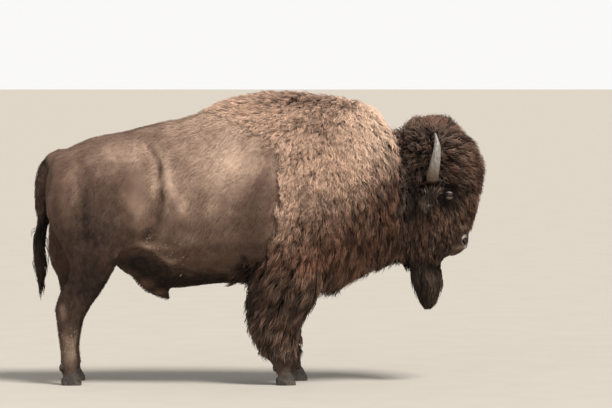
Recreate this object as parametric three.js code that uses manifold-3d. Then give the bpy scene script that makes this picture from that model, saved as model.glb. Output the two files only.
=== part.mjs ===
// A plains bison bull in early summer coat, standing on level ground, at life size.
//
// Millimetres, +Z up, the head towards +X and the animal's right side towards -Y. The origin is on the
// ground, under the middle of the outline. The solids reach out to the tips of the coat. The flesh is
// modelled whole, as one joined body on its hooves, and thin saw cuts then part it into the pieces that
// a person would name.

import * as THREE from 'three';
import { LoftGeometry } from 'three/addons/geometries/LoftGeometry.js';
import { mergeVertices } from 'three/addons/utils/BufferGeometryUtils.js';
import Module from 'manifold-3d';

const wasm = await Module();
wasm.setup();

// ---------------------------------------------------------------- driving dimensions

const HUMP_HEIGHT = 1800; // top of the hump above the ground
const SAW_CUT = 1; // width of the cuts between pieces of flesh
const SEAT_GAP = 0.5; // clearance round an eye, horn, ear, tail or hoof in its seat
const EYE = { x: 1160, y: 163, z: 1151, radius: 22 };
const HOOF = { length: 126, width: 50, height: 78, heel: 44, spread: 27 }; // one claw of a cloven hoof
const DEWCLAW = { z: 106, spread: 24, radii: [15, 13, 24] };
const FOREFOOT = { x: 172, y: 165, dewclawBehind: 68 }; // middle of the right fore hoof on the ground
const HINDFOOT = { x: -1128, y: 170, dewclawBehind: 61 }; // middle of the right hind hoof
const LEFT_FOREFOOT_LEAD = 72; // the left fore hoof stands this far ahead of the right one

// How far the back of the left hind leg lies behind that of the right one: height z, distance
const LEFT_THIGH_LAG = [
  [480, 0], [540, 16], [613, 72], [690, 132], [750, 150], [820, 128], [900, 80], [1000, 28], [1100, 8],
  [1370, 8],
];

// ---------------------------------------------------------------- tables of the outline

// Trunk and neck, from the rump to the inside of the head. Above and below are the roundness of the
// section over and under its widest point: 2 is an ellipse, less is more pointed, more is fuller.
// place x, belly, back, half width, height of the widest point, above, below
const TRUNK = [
  [-1297, 985, 1330, 205, 1150, 2.2, 2.2], // buttocks
  [-1225, 900, 1402, 250, 1145, 2.2, 2.2],
  [-1130, 840, 1452, 285, 1140, 2.1, 2.2], // pin bones and tail head
  [-990, 800, 1510, 318, 1150, 2.0, 2.1], // hips
  [-854, 700, 1532, 322, 1120, 1.9, 2.0],
  [-760, 636, 1553, 324, 1080, 1.9, 2.0], // loin and flank
  [-660, 590, 1583, 336, 1050, 1.9, 2.0],
  [-560, 571, 1606, 356, 1030, 1.85, 2.1], // last ribs
  [-420, 585, 1630, 378, 1020, 1.8, 2.2],
  [-230, 607, 1727, 390, 1020, 1.75, 2.3], // middle of the barrel
  [-60, 609, 1773, 390, 1020, 1.7, 2.3],
  [90, 604, 1793, 388, 1030, 1.65, 2.2], // behind the shoulder
  [195, 600, HUMP_HEIGHT, 384, 1050, 1.65, 2.1], // top of the hump
  [330, 578, 1789, 374, 1060, 1.65, 2.0],
  [440, 540, 1771, 356, 1065, 1.7, 1.95], // point of the shoulder and brisket
  [530, 590, 1765, 334, 1080, 1.75, 2.0],
  [615, 643, 1744, 314, 1100, 1.8, 2.1], // front of the hump
  [690, 676, 1706, 292, 1110, 1.9, 2.2],
  [760, 700, 1630, 270, 1110, 2.0, 2.2], // neck
  [840, 722, 1545, 248, 1110, 2.1, 2.2],
  [985, 775, 1420, 190, 1110, 2.2, 2.2], // inside the head
];

// Head with its hair, in level sections from the chin to the crown.
// height z, back, front, half width, how much narrower the front is than the back
const HEAD = [
  [742, 905, 1142, 84, 0.0], // chin
  [768, 893, 1202, 100, 0.02],
  [802, 885, 1262, 115, 0.04], // lips
  [856, 875, 1296, 126, 0.08], // nostrils
  [905, 868, 1286, 132, 0.12],
  [980, 861, 1312, 145, 0.18],
  [1035, 856, 1340, 160, 0.22], // bridge of the nose
  [1090, 850, 1347, 178, 0.25],
  [1150, 846, 1356, 195, 0.26], // eyes
  [1210, 842, 1371, 210, 0.24],
  [1290, 838, 1384, 226, 0.2], // brow hair
  [1360, 836, 1376, 232, 0.18],
  [1440, 838, 1346, 224, 0.16], // horns
  [1510, 842, 1294, 198, 0.12],
  [1572, 852, 1224, 154, 0.06],
  [1612, 905, 1182, 106, 0.0],
  [1640, 1015, 1155, 52, 0.0], // crown
];

// Beard, from its tip to the chin, in the same columns
const BEARD = [
  [463, 1020, 1058, 20, 0.0],
  [500, 996, 1086, 42, 0.0],
  [545, 970, 1106, 58, 0.0],
  [590, 948, 1121, 70, 0.0],
  [645, 932, 1134, 80, 0.05],
  [700, 908, 1138, 86, 0.05],
  [780, 885, 1150, 90, 0.05],
];

// Right foreleg with its chaps of long hair, from inside the hoof up.
// height z, back, front, half width, middle y
const FORELEG = [
  [38, 120, 206, 44, 165], // heel and coronet
  [84, 112, 214, 47, 165],
  [122, 90, 214, 49, 165], // fetlock
  [152, 58, 226, 60, 166],
  [191, 24, 238, 78, 167],
  [246, -14, 247, 94, 168],
  [301, -36, 265, 104, 170],
  [369, -64, 287, 112, 172], // knee, inside the hair
  [424, -79, 306, 118, 176],
  [480, -72, 352, 124, 182], // forearm
  [545, -70, 388, 132, 190], // elbow
  [640, -60, 420, 140, 205],
  [800, -20, 440, 140, 222], // upper arm, in the shoulder
  [1000, 60, 430, 130, 236],
  [1180, 120, 390, 90, 226],
];

// Right hind leg from inside the hoof up, in the same columns
const HINDLEG = [
  [38, -1184, -1094, 43, 170], // heel and coronet
  [84, -1188, -1086, 45, 170],
  [128, -1197, -1091, 45, 170], // fetlock
  [172, -1198, -1100, 38, 170],
  [240, -1203, -1096, 37, 171],
  [310, -1214, -1086, 41, 173],
  [370, -1222, -1074, 47, 175],
  [430, -1230, -1046, 56, 177], // hock
  [490, -1234, -1000, 62, 179],
  [540, -1210, -960, 66, 181],
  [600, -1168, -920, 76, 184], // gaskin
  [670, -1142, -876, 88, 189],
  [740, -1142, -842, 102, 194],
  [820, -1178, -792, 117, 200], // stifle
  [910, -1228, -716, 126, 203],
  [1010, -1276, -668, 131, 203], // thigh
  [1130, -1286, -680, 128, 199],
  [1260, -1240, -740, 108, 190],
  [1370, -1150, -840, 60, 170],
];

// Tail, in the middle plane: x, z and half thickness, from inside the rump to the end of the switch
const TAIL = [
  [-1150, 1408, 32], [-1222, 1398, 37], [-1284, 1352, 37], [-1320, 1278, 35], [-1334, 1190, 34],
  [-1335, 1100, 33], [-1332, 1010, 32], // end of the dock
  [-1332, 930, 43], [-1330, 850, 46], [-1328, 760, 41], [-1326, 680, 28], [-1328, 612, 8],
];
const TAIL_FLATTENING = 0.8; // side to side, against front to back
const DOCK_END = 1004; // height where the switch of hair takes over

// Sheath, under the belly's middle line, in the same columns
const SHEATH = [[-760, 690, 40], [-690, 622, 50], [-622, 570, 44], [-562, 537, 32], [-538, 505, 14]];

// Right horn, out of the head and up: x, distance from the middle plane, z and half thickness
const HORN = [
  [1048, 150, 1236, 36], [1052, 214, 1245, 38], [1058, 268, 1276, 37], [1067, 303, 1332, 33],
  [1077, 314, 1398, 28], [1083, 306, 1462, 19], [1070, 288, 1530, 4],
];

// Right ear, hanging outwards: x, distance from the middle plane, z, half width and half thickness
const EAR = [
  [1062, 148, 1180, 26, 14], [1052, 200, 1168, 44, 18], [1038, 240, 1147, 56, 19], [1022, 265, 1112, 49, 16],
  [1008, 277, 1072, 16, 7],
];
const EAR_HOLLOW = { place: [1034, 278, 1134], radii: [36, 22, 44] };
const NOSTRIL = { place: [1284, 48, 862], radii: [22, 14, 24] };

// Saw cuts, each a straight line across the side view from [x, z] to [x, z], between two distances from
// the middle plane. A cut that starts off the middle plane is made on both sides.
const FULL = [0, 450];
const CUTS = [
  { name: 'head from neck', from: [806, 1690], to: [897, 648], width: FULL },
  { name: 'bonnet from head', from: [820, 1237], to: [1420, 1171], width: FULL },
  { name: 'mouth', from: [1330, 806], to: [874, 884], width: FULL },
  { name: 'beard from jaw', from: [840, 752], to: [1200, 752], width: FULL },
  { name: 'back of the nose pad', from: [1246, 817], to: [1246, 912], width: FULL },
  { name: 'top of the nose pad', from: [1245, 911], to: [1320, 911], width: FULL },
  { name: 'neck from hump', from: [776, 1780], to: [478, 480], width: FULL },
  { name: 'shoulders from barrel', from: [-112, 1840], to: [-112, 580], width: FULL },
  { name: 'barrel from hindquarters', from: [-605, 1700], to: [-689, 585], width: FULL },
  { name: 'sheath from belly', from: [-790, 609], to: [-500, 546], width: [0, 90] },
  { name: 'scrotum from groin', from: [-1090, 821], to: [-930, 766], width: [0, 70] },
  { name: 'forelegs from shoulders', from: [-170, 600], to: [460, 530], width: [40, 430] },
  { name: 'knees', from: [-170, 369], to: [460, 369], width: [30, 430] },
  { name: 'hind legs from hindquarters', from: [-1345, 882], to: [-740, 592], width: [55, 430] },
  { name: 'hocks', from: [-1330, 436], to: [-940, 436], width: [55, 430] },
];

// ---------------------------------------------------------------- solids and lofts

// A closed geometry as a solid with its faces pointing out.
function solid(geometry) {
  const plain = new THREE.BufferGeometry().setIndex(geometry.index);
  plain.setAttribute('position', geometry.getAttribute('position'));
  const merged = mergeVertices(plain, 1e-3);
  const corners = merged.index.array;
  const triangles = [];
  for (let i = 0; i < corners.length; i += 3) {
    const [a, b, c] = corners.subarray(i, i + 3);
    if (a !== b && b !== c && c !== a) triangles.push(a, b, c);
  }
  const vertProperties = merged.attributes.position.array;
  return new wasm.Manifold(new wasm.Mesh({ numProp: 3, vertProperties, triVerts: new Uint32Array(triangles) }));
}

// A table of rows as a smooth function of its first column.
function smooth(rows) {
  const width = rows[0].length - 1;
  const keys = rows.map((row) => row[0]);
  const values = rows.flatMap((row) => row.slice(1));
  const curve = new THREE.CubicInterpolant(keys, values, width, new Float32Array(width));
  return { first: keys[0], last: keys.at(-1), at: (key) => [...curve.evaluate(key)] };
}

// Places along a loft, with the size of the section there. An end with a round length closes as a dome.
const DOME_ANGLES = [20, 52].map(THREE.MathUtils.degToRad);
function places({ first, last }, steps, roundFirst, roundLast) {
  const dome = (end, length, sign) =>
    DOME_ANGLES.map((angle) => ({ place: end + sign * length * (1 - Math.cos(angle)), size: Math.sin(angle) }));
  const from = first + roundFirst;
  const step = (last - roundLast - from) / steps;
  const straight = Array.from({ length: steps + 1 }, (_, i) => ({ place: from + step * i, size: 1 }));
  const start = roundFirst ? dome(first, roundFirst, 1) : [];
  const end = roundLast ? dome(last, roundLast, -1).reverse() : [];
  return [...start, ...straight, ...end];
}

const ring = (count, point) => Array.from({ length: count }, (_, i) => point((2 * Math.PI * i) / count));
const bent = (value, power) => Math.sign(value) * Math.abs(value) ** power;
const closedLoft = (sections) => solid(new LoftGeometry(sections, { capStart: true, capEnd: true }));

// Upright sections along X, each with its own belly, back and width.
function trunkLoft() {
  const [around, steps, round] = [20, 20, 60];
  const table = smooth(TRUNK);
  return closedLoft(
    places(table, steps, round, round).map(({ place, size }) => {
      const [low, high, half, widest, above, below] = table.at(place);
      const middle = (low + high) / 2;
      return ring(around, (angle) => {
        const up = Math.cos(angle);
        const power = 2 / (up > 0 ? above : below);
        const z = widest + bent(up, power) * (up > 0 ? high - widest : widest - low);
        const y = -half * bent(Math.sin(angle), power);
        return new THREE.Vector3(place, y * size, middle + (z - middle) * size);
      });
    }),
  );
}

// Level sections up Z, for the head, the limbs and the hooves.
const LIMB_ROUNDNESS = 2 / 2.3;
function uprightLoft(sectionAt, heights, around) {
  return closedLoft(
    heights.map(({ place, size }) => {
      const { back, front, half, y = 0, narrowing = 0 } = sectionAt(place);
      return ring(around, (angle) => {
        const ahead = bent(Math.cos(angle), LIMB_ROUNDNESS);
        const aside = bent(Math.sin(angle), LIMB_ROUNDNESS) * (1 - narrowing * ahead);
        const x = (back + front) / 2 + (ahead * size * (front - back)) / 2;
        return new THREE.Vector3(x, y + half * aside * size, place);
      });
    }),
  );
}

// A tapering tube on a smooth line, with its half thickness in two directions and a clearance to add all
// round and at both ends.
function taperedTube(line, halves, steps, clearance) {
  const path = new THREE.CatmullRomCurve3(line);
  const { tangents, normals, binormals } = path.computeFrenetFrames(steps);
  const thickness = smooth(halves.map((pair, i) => [i / (halves.length - 1), ...pair]));
  const beyond = (i) => (i === 0 ? -clearance : i === steps ? clearance : 0);
  return closedLoft(
    Array.from({ length: steps + 1 }, (_, i) => {
      const [first, second] = thickness.at(path.getUtoTmapping(i / steps));
      return ring(10, (angle) =>
        path
          .getPointAt(i / steps)
          .addScaledVector(tangents[i], beyond(i))
          .addScaledVector(normals[i], (first + clearance) * Math.cos(angle))
          .addScaledVector(binormals[i], (second + clearance) * Math.sin(angle)),
      );
    }),
  );
}

// A tube in the middle plane from rows of x, z and half thickness.
function middleTube(rows, steps, flattening, clearance) {
  const line = rows.map(([x, z]) => new THREE.Vector3(x, 0, z));
  const halves = rows.map(([, , half]) => [half * flattening, half]);
  return taperedTube(line, halves, steps, clearance);
}

// A tube off to one side from rows of x, y, z and one or two half thicknesses.
function sideTube(rows, side, steps, clearance) {
  const line = rows.map(([x, y, z]) => new THREE.Vector3(x, side * y, z));
  const halves = rows.map(([, , , first, second = first]) => [first, second]);
  return taperedTube(line, halves, steps, clearance);
}

function ellipsoid([x, y, z], [length, width, height], across = 12, down = 7) {
  const ball = new THREE.SphereGeometry(1, across, down).rotateX(Math.PI / 2);
  return solid(ball.scale(length, width, height).translate(x, y, z));
}

// A saw cut as thin slabs along a line in the side view.
function sawSlabs({ from, to, width: [near, far] }) {
  const [runX, runZ] = [to[0] - from[0], to[1] - from[1]];
  const slab = (middleY, width) =>
    solid(
      new THREE.BoxGeometry(Math.hypot(runX, runZ), width, SAW_CUT)
        .rotateY(-Math.atan2(runZ, runX))
        .translate((from[0] + to[0]) / 2, middleY, (from[1] + to[1]) / 2),
    );
  if (near === 0) return [slab(0, 2 * far)];
  return [-1, 1].map((side) => slab((side * (near + far)) / 2, far - near));
}

// ---------------------------------------------------------------- the whole animal

const RIGHT = -1;
const LEFT = 1;
const SIDES = { right: RIGHT, left: LEFT };
const onSide = (side, [x, y, z]) => [x, side * y, z];

// How far ahead the left legs are of the right ones, at a height.
const thighLag = smooth(LEFT_THIGH_LAG);
const foreLead = (side, z) => (side === LEFT ? LEFT_FOREFOOT_LEAD * Math.max(0, 1 - z / 420) : 0);
const hindLead = (side, z) => (side === LEFT && z > thighLag.first ? -thighLag.at(z)[0] : 0);

function leg(rows, side, lead, steps, roundTop) {
  const table = smooth(rows);
  const sectionAt = (z) => {
    const [back, front, half, y] = table.at(z);
    return { back: back + lead(side, z), front: front + lead(side, z), half, y: side * y };
  };
  return uprightLoft(sectionAt, places(table, steps, 0, roundTop), 11);
}

function headMass(rows, steps, around, roundFirst, roundLast) {
  const table = smooth(rows);
  const sectionAt = (z) => {
    const [back, front, half, narrowing] = table.at(z);
    return { back, front, half, narrowing };
  };
  return uprightLoft(sectionAt, places(table, steps, roundFirst, roundLast), around);
}

// The middle of a foot at a height, as x and y.
function foot(fore, side, z) {
  const { x, y } = fore ? FOREFOOT : HINDFOOT;
  return [x + (fore ? foreLead(side, z) : hindLead(side, z)), side * y];
}

// One claw of a hoof: a flat sole, a wall that slopes back from the toe, and a top that falls to the heel.
function claw(fore, side, outer, clearance) {
  const [footX, footY] = foot(fore, side, 0);
  const [heel, toe] = [footX - HOOF.length / 2 - clearance, footX + HOOF.length / 2 + clearance];
  const top = HOOF.height + clearance;
  const table = smooth([
    [-clearance, heel + 6, toe - 3],
    [10, heel, toe],
    [HOOF.heel, heel + 3, toe - 17],
    [top, heel + 14, toe - 36],
  ]);
  const sectionAt = (z) => {
    const [back, front] = table.at(z);
    return { back, front, half: HOOF.width / 2 + clearance, y: footY + side * outer * HOOF.spread, narrowing: 0.22 };
  };
  const wall = uprightLoft(sectionAt, places(table, 3, 0, 0), 8);
  const fall = Math.atan2(HOOF.height - HOOF.heel, HOOF.length * 0.62);
  const keepBelow = [Math.sin(fall), 0, -Math.cos(fall)];
  return wall.trimByPlane(keepBelow, (footX + HOOF.length * 0.2) * keepBelow[0] + top * keepBelow[2]);
}

function dewclaw(fore, side, outer, clearance) {
  const { dewclawBehind } = fore ? FOREFOOT : HINDFOOT;
  const [footX, footY] = foot(fore, side, DEWCLAW.z);
  const place = [footX - dewclawBehind, footY + side * outer * DEWCLAW.spread, DEWCLAW.z];
  return ellipsoid(place, DEWCLAW.radii.map((radius) => radius + clearance), 6, 4);
}

function eye(side, clearance) {
  const radius = EYE.radius + clearance;
  return ellipsoid(onSide(side, [EYE.x, EYE.y, EYE.z]), [radius, radius, radius], 10, 6);
}

const ear = (side, clearance) => {
  const leaf = sideTube(EAR, side, 6, clearance);
  return clearance ? leaf : leaf.subtract(ellipsoid(onSide(side, EAR_HOLLOW.place), EAR_HOLLOW.radii, 8, 5));
};

// What sits in the flesh as a piece of its own: for each name, its finish and its maker, which takes the
// clearance to leave round it.
function fittings() {
  const made = { tail: ['shortCoat', (clearance) => middleTube(TAIL, 14, TAIL_FLATTENING, clearance)] };
  for (const [sideName, side] of Object.entries(SIDES)) {
    made[`horn_${sideName}`] = ['horn', (clearance) => sideTube(HORN, side, 10, clearance)];
    made[`ear_${sideName}`] = ['face', (clearance) => ear(side, clearance)];
    made[`eye_${sideName}`] = ['eye', (clearance) => eye(side, clearance)];
    for (const fore of [true, false]) {
      for (const outer of [1, -1]) {
        const place = `${fore ? 'fore' : 'hind'}_${sideName}_${outer > 0 ? 'outer' : 'inner'}`;
        made[`hoof_${place}`] = ['hoof', (clearance) => claw(fore, side, outer, clearance)];
        made[`dewclaw_${place}`] = ['hoof', (clearance) => dewclaw(fore, side, outer, clearance)];
      }
    }
  }
  return made;
}

function wholeFlesh() {
  const masses = [trunkLoft(), headMass(HEAD, 15, 16, 26, 20), headMass(BEARD, 5, 12, 18, 0)];
  masses.push(middleTube(SHEATH, 7, 1, 0));
  masses.push(ellipsoid([-1012, 0, 745], [52, 46, 84], 9, 6)); // scrotum
  for (const side of Object.values(SIDES)) {
    masses.push(leg(FORELEG, side, foreLead, 12, 90));
    masses.push(leg(HINDLEG, side, hindLead, 15, 60));
  }
  return masses.reduce((body, mass) => body.add(mass));
}

// ---------------------------------------------------------------- pieces

// Each piece of flesh by a point inside it, with its finish. A point off the middle plane names a piece
// on each side.
const FLESH = {
  head: { inside: [1000, 0, 1050], finish: 'face' },
  bonnet: { inside: [1050, 0, 1450], finish: 'face' },
  jaw: { inside: [1050, 0, 800], finish: 'face' },
  nose: { inside: [1266, 0, 885], finish: 'nose' },
  beard: { inside: [1040, 0, 650], finish: 'longHair' },
  neck: { inside: [790, 0, 1150], finish: 'mane' },
  hump_and_shoulders: { inside: [300, 0, 1200], finish: 'cape' },
  barrel: { inside: [-350, 0, 1100], finish: 'shortCoat' },
  hindquarters: { inside: [-950, 0, 1150], finish: 'shortCoat' },
  sheath: { inside: [-610, 0, 555], finish: 'shortCoat' },
  scrotum: { inside: [-1012, 0, 720], finish: 'shortCoat' },
  foreleg_upper: { inside: [150, 185, 480], finish: 'longHair' },
  foreleg_lower: { inside: [110, 168, 280], finish: 'longHair' },
  hindleg_upper: { inside: [-1040, 186, 600], finish: 'shortCoat' },
  hindleg_lower: { inside: [-1150, 172, 340], finish: 'shortCoat' },
};

const FINISHES = {
  shortCoat: { color: 0x6b5646, roughness: 0.85 },
  cape: { color: 0x9b7b5d, roughness: 0.95 },
  mane: { color: 0x5d4030, roughness: 0.95 },
  face: { color: 0x35241b, roughness: 0.95 },
  longHair: { color: 0x231a16, roughness: 0.9 },
  nose: { color: 0x1d1a1a, roughness: 0.45 },
  horn: { color: 0x8d8983, roughness: 0.5 },
  hoof: { color: 0x2b2724, roughness: 0.55 },
  eye: { color: 0x120d0a, roughness: 0.1 },
};

function addPiece(group, name, shape, finish) {
  const { vertProperties, triVerts, numProp } = shape.getMesh();
  const geometry = new THREE.BufferGeometry();
  geometry.setAttribute('position', new THREE.BufferAttribute(vertProperties, numProp));
  geometry.setIndex(new THREE.BufferAttribute(triVerts, 1));
  const mesh = new THREE.Mesh(geometry, new THREE.MeshStandardMaterial({ ...FINISHES[finish], metalness: 0 }));
  mesh.name = name;
  group.add(mesh);
}

const holds = (shape, point) => !shape.intersect(ellipsoid(point, [1, 1, 1], 6, 4)).isEmpty();

function addFlesh(group, made) {
  let flesh = wholeFlesh();
  for (const [, make] of Object.values(made)) flesh = flesh.subtract(make(SEAT_GAP));
  for (const side of Object.values(SIDES)) {
    flesh = flesh.subtract(ellipsoid(onSide(side, NOSTRIL.place), NOSTRIL.radii, 8, 6));
  }
  for (const slab of CUTS.flatMap(sawSlabs)) flesh = flesh.subtract(slab);
  const loose = flesh.decompose();
  for (const [name, { inside, finish }] of Object.entries(FLESH)) {
    const copies = inside[1] === 0 ? [[name, RIGHT]] : Object.entries(SIDES).map(([at, side]) => [`${name}_${at}`, side]);
    for (const [copyName, side] of copies) {
      const found = loose.findIndex((piece) => holds(piece, onSide(side, inside)));
      if (found < 0) throw new Error(`no piece of flesh holds ${copyName}`);
      addPiece(group, copyName, loose.splice(found, 1)[0], finish);
    }
  }
  if (loose.length) throw new Error(`a cut leaves ${loose.length} pieces of flesh with no name`);
}

function addFittings(group, made) {
  for (const [name, [finish, make]] of Object.entries(made)) {
    if (name !== 'tail') addPiece(group, name, make(0), finish);
  }
  const [dockCut] = sawSlabs({ from: [-1420, DOCK_END], to: [-1240, DOCK_END], width: [0, 90] });
  for (const piece of made.tail[1](0).subtract(dockCut).decompose()) {
    if (piece.boundingBox().max[2] > DOCK_END) addPiece(group, 'tail', piece, 'shortCoat');
    else addPiece(group, 'tail_switch', piece, 'longHair');
  }
}

const bison = new THREE.Group();
const made = fittings();
addFlesh(bison, made);
addFittings(bison, made);

// The origin goes under the middle of the outline.
const middle = new THREE.Box3().setFromObject(bison).getCenter(new THREE.Vector3());
for (const mesh of bison.children) mesh.geometry.translate(-middle.x, -middle.y, 0);

export default bison;
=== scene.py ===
# Looks of a life-size plains bison bull in early summer coat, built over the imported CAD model.
#
# Metres, +Z up, the head towards +X and the animal's right side towards -Y, as in the CAD. The CAD solids
# reach to the tips of the coat, so the skin lies inside them by the depth of the coat, and the tufts of
# hair rise from it and fill that depth. Tables list one side; the other is its mirror image.
import math

import bpy
import numpy as np
from mathutils import Matrix, Vector
from mathutils.bvhtree import BVHTree
from mathutils.kdtree import KDTree


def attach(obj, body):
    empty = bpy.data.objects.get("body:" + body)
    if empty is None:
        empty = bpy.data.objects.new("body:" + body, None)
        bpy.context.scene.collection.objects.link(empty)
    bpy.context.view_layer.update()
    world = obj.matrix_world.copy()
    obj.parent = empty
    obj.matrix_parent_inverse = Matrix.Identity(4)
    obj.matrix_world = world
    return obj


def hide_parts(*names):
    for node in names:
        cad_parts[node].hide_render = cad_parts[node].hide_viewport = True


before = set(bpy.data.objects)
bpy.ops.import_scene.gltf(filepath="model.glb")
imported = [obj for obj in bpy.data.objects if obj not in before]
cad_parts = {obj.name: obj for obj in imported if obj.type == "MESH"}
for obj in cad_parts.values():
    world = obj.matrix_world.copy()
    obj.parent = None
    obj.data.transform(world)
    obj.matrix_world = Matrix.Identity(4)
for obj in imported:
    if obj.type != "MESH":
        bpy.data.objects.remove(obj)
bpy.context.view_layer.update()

# ---------------------------------------------------------------- sizes and places

VOXEL = 0.0130  # edge of the skin's faces
EAR_VOXEL = 0.0055
TUFT_PATCH = 0.003  # how much of the map, which is 1 across, each tuft has
GROWN = 0.004  # the flesh is fattened by this, so that the cuts between its pieces close
EYE = Vector((1.1556, 0.163, 1.151))
EYE_RADIUS = 0.0215
EYE_OUT = Vector((0.30, 0.95, 0.08)).normalized()  # the way the left eye looks
EYE_FISSURE = Vector((0.93, -0.29, -0.20)).normalized()  # from its back corner to its front corner
EYE_OPENING = (0.0235, 0.0115)  # half its length, and half its height in the middle
LID_DEPTH = 0.0055  # how far the lids stand over the eyeball
NOSTRIL = Vector((1.268, 0.066, 0.864))
NOSTRIL_OUT = Vector((0.60, 0.80, 0.06)).normalized()
NOSTRIL_ALONG = Vector((-0.50, 0.50, 0.70)).normalized()
NOSTRIL_OPENING = (0.027, 0.0165)  # half its length and half its width
NOSTRIL_DEPTH = 0.034
HORN_LINE = [(1.044, 0.150, 1.236), (1.048, 0.214, 1.245), (1.054, 0.268, 1.276), (1.063, 0.303, 1.332),
             (1.073, 0.314, 1.398), (1.079, 0.306, 1.462), (1.066, 0.288, 1.530)]
EAR_LINE = [(1.058, 0.148, 1.180), (1.048, 0.200, 1.168), (1.034, 0.240, 1.147), (1.018, 0.265, 1.112),
            (1.004, 0.277, 1.072)]
LIP_LINE = [(1.262, 0.05, 0.822), (1.235, 0.085, 0.818), (1.19, 0.105, 0.822)]

FLESH = ["head", "bonnet", "jaw", "nose", "beard", "neck", "hump_and_shoulders", "barrel", "hindquarters",
         "sheath", "scrotum", "tail", "tail_switch"]
FLESH += [f"{leg}_{part}_{side}" for leg in ("foreleg", "hindleg") for part in ("upper", "lower")
          for side in ("right", "left")]
EARS = ["ear_right", "ear_left"]
CLAWS = [f"{kind}_{leg}_{side}_{place}" for kind in ("hoof", "dewclaw") for leg in ("fore", "hind")
         for side in ("right", "left") for place in ("outer", "inner")]

# The coat, zone by zone: how deep it is, how long, wide and close its tufts are, how many rings make one,
# how much they wave and bunch up, and how far their tips hang. The last four are its colour, as shares of
# sun-bleached tan, russet, near-black and dust.
ZONES = {
    # name: depth, length, width, per square metre, rings, wave, bunch, hang, tan, russet, black, dust
    "body": (0.005, 0.024, 0.0028, 7000, 2, 0.03, 0.06, 0.0, 0.00, 0.02, 0.06, 0.05),
    "back": (0.010, 0.034, 0.0036, 9000, 2, 0.06, 0.16, 0.0, 0.36, 0.04, 0.00, 0.25),
    "cape": (0.030, 0.076, 0.0048, 21500, 3, 0.20, 0.60, 0.1, 0.84, 0.03, 0.00, 0.04),
    "mane": (0.046, 0.104, 0.0066, 15000, 3, 0.10, 0.72, 0.3, 0.20, 0.60, 0.20, 0.00),
    "brisket": (0.060, 0.150, 0.0080, 11500, 4, 0.08, 0.66, 0.7, 0.00, 0.44, 0.52, 0.00),
    "chaps": (0.050, 0.124, 0.0084, 10000, 4, 0.08, 0.66, 0.5, 0.09, 0.10, 0.54, 0.00),
    "shin": (0.006, 0.018, 0.0034, 12000, 2, 0.04, 0.10, 0.0, 0.00, 0.10, 0.75, 0.06),
    "hock": (0.005, 0.020, 0.0032, 9000, 2, 0.04, 0.10, 0.0, 0.00, 0.08, 0.66, 0.02),
    # The belly's near-black is partly its hair and partly painted shade underneath.
    "belly": (0.009, 0.030, 0.0042, 8000, 2, 0.06, 0.20, 0.1, 0.00, 0.06, 0.80, 0.00),
    "face": (0.028, 0.072, 0.0064, 16000, 3, 0.09, 0.74, 0.4, 0.04, 0.20, 0.50, 0.00),
    "bridge": (0.040, 0.074, 0.0062, 18000, 3, 0.12, 0.50, 0.3, 0.03, 0.45, 0.42, 0.00),
    "temple": (0.048, 0.062, 0.0066, 18000, 3, 0.24, 0.70, 0.1, 0.02, 0.22, 0.72, 0.00),
    "bonnet": (0.078, 0.108, 0.0064, 20000, 3, 0.11, 0.50, 0.1, 0.00, 0.46, 0.54, 0.00),
    "muzzle": (0.004, 0.012, 0.0026, 18000, 2, 0.03, 0.05, 0.0, 0.02, 0.10, 0.62, 0.03),
    "beard": (0.030, 0.125, 0.0078, 18500, 4, 0.07, 0.66, 0.6, 0.00, 0.05, 0.93, 0.00),
    "ear": (0.010, 0.044, 0.0046, 22000, 2, 0.10, 0.50, 0.4, 0.03, 0.14, 0.66, 0.03),
    "dock": (0.008, 0.032, 0.0044, 14000, 2, 0.05, 0.20, 0.2, 0.00, 0.10, 0.55, 0.02),
    "switch": (0.028, 0.150, 0.0060, 24000, 4, 0.07, 0.50, 0.8, 0.02, 0.00, 0.85, 0.00),
}
DEPTH, LENGTH, WIDTH, CLOSENESS, RINGS, WAVE, BUNCH, HANG = range(8)
TONES = slice(8, 12)
ZONE_NAMES = list(ZONES)
ZONE_TABLE = np.array(list(ZONES.values()))

# How far the tips of the shaggiest zones may stand out of the outline.
PROUD = {"brisket": 0.054, "chaps": 0.024, "beard": 0.016, "mane": 0.010, "temple": 0.012, "bonnet": 0.016,
         "bridge": 0.010, "switch": 0.012, "cape": 0.009, "face": 0.008}

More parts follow.
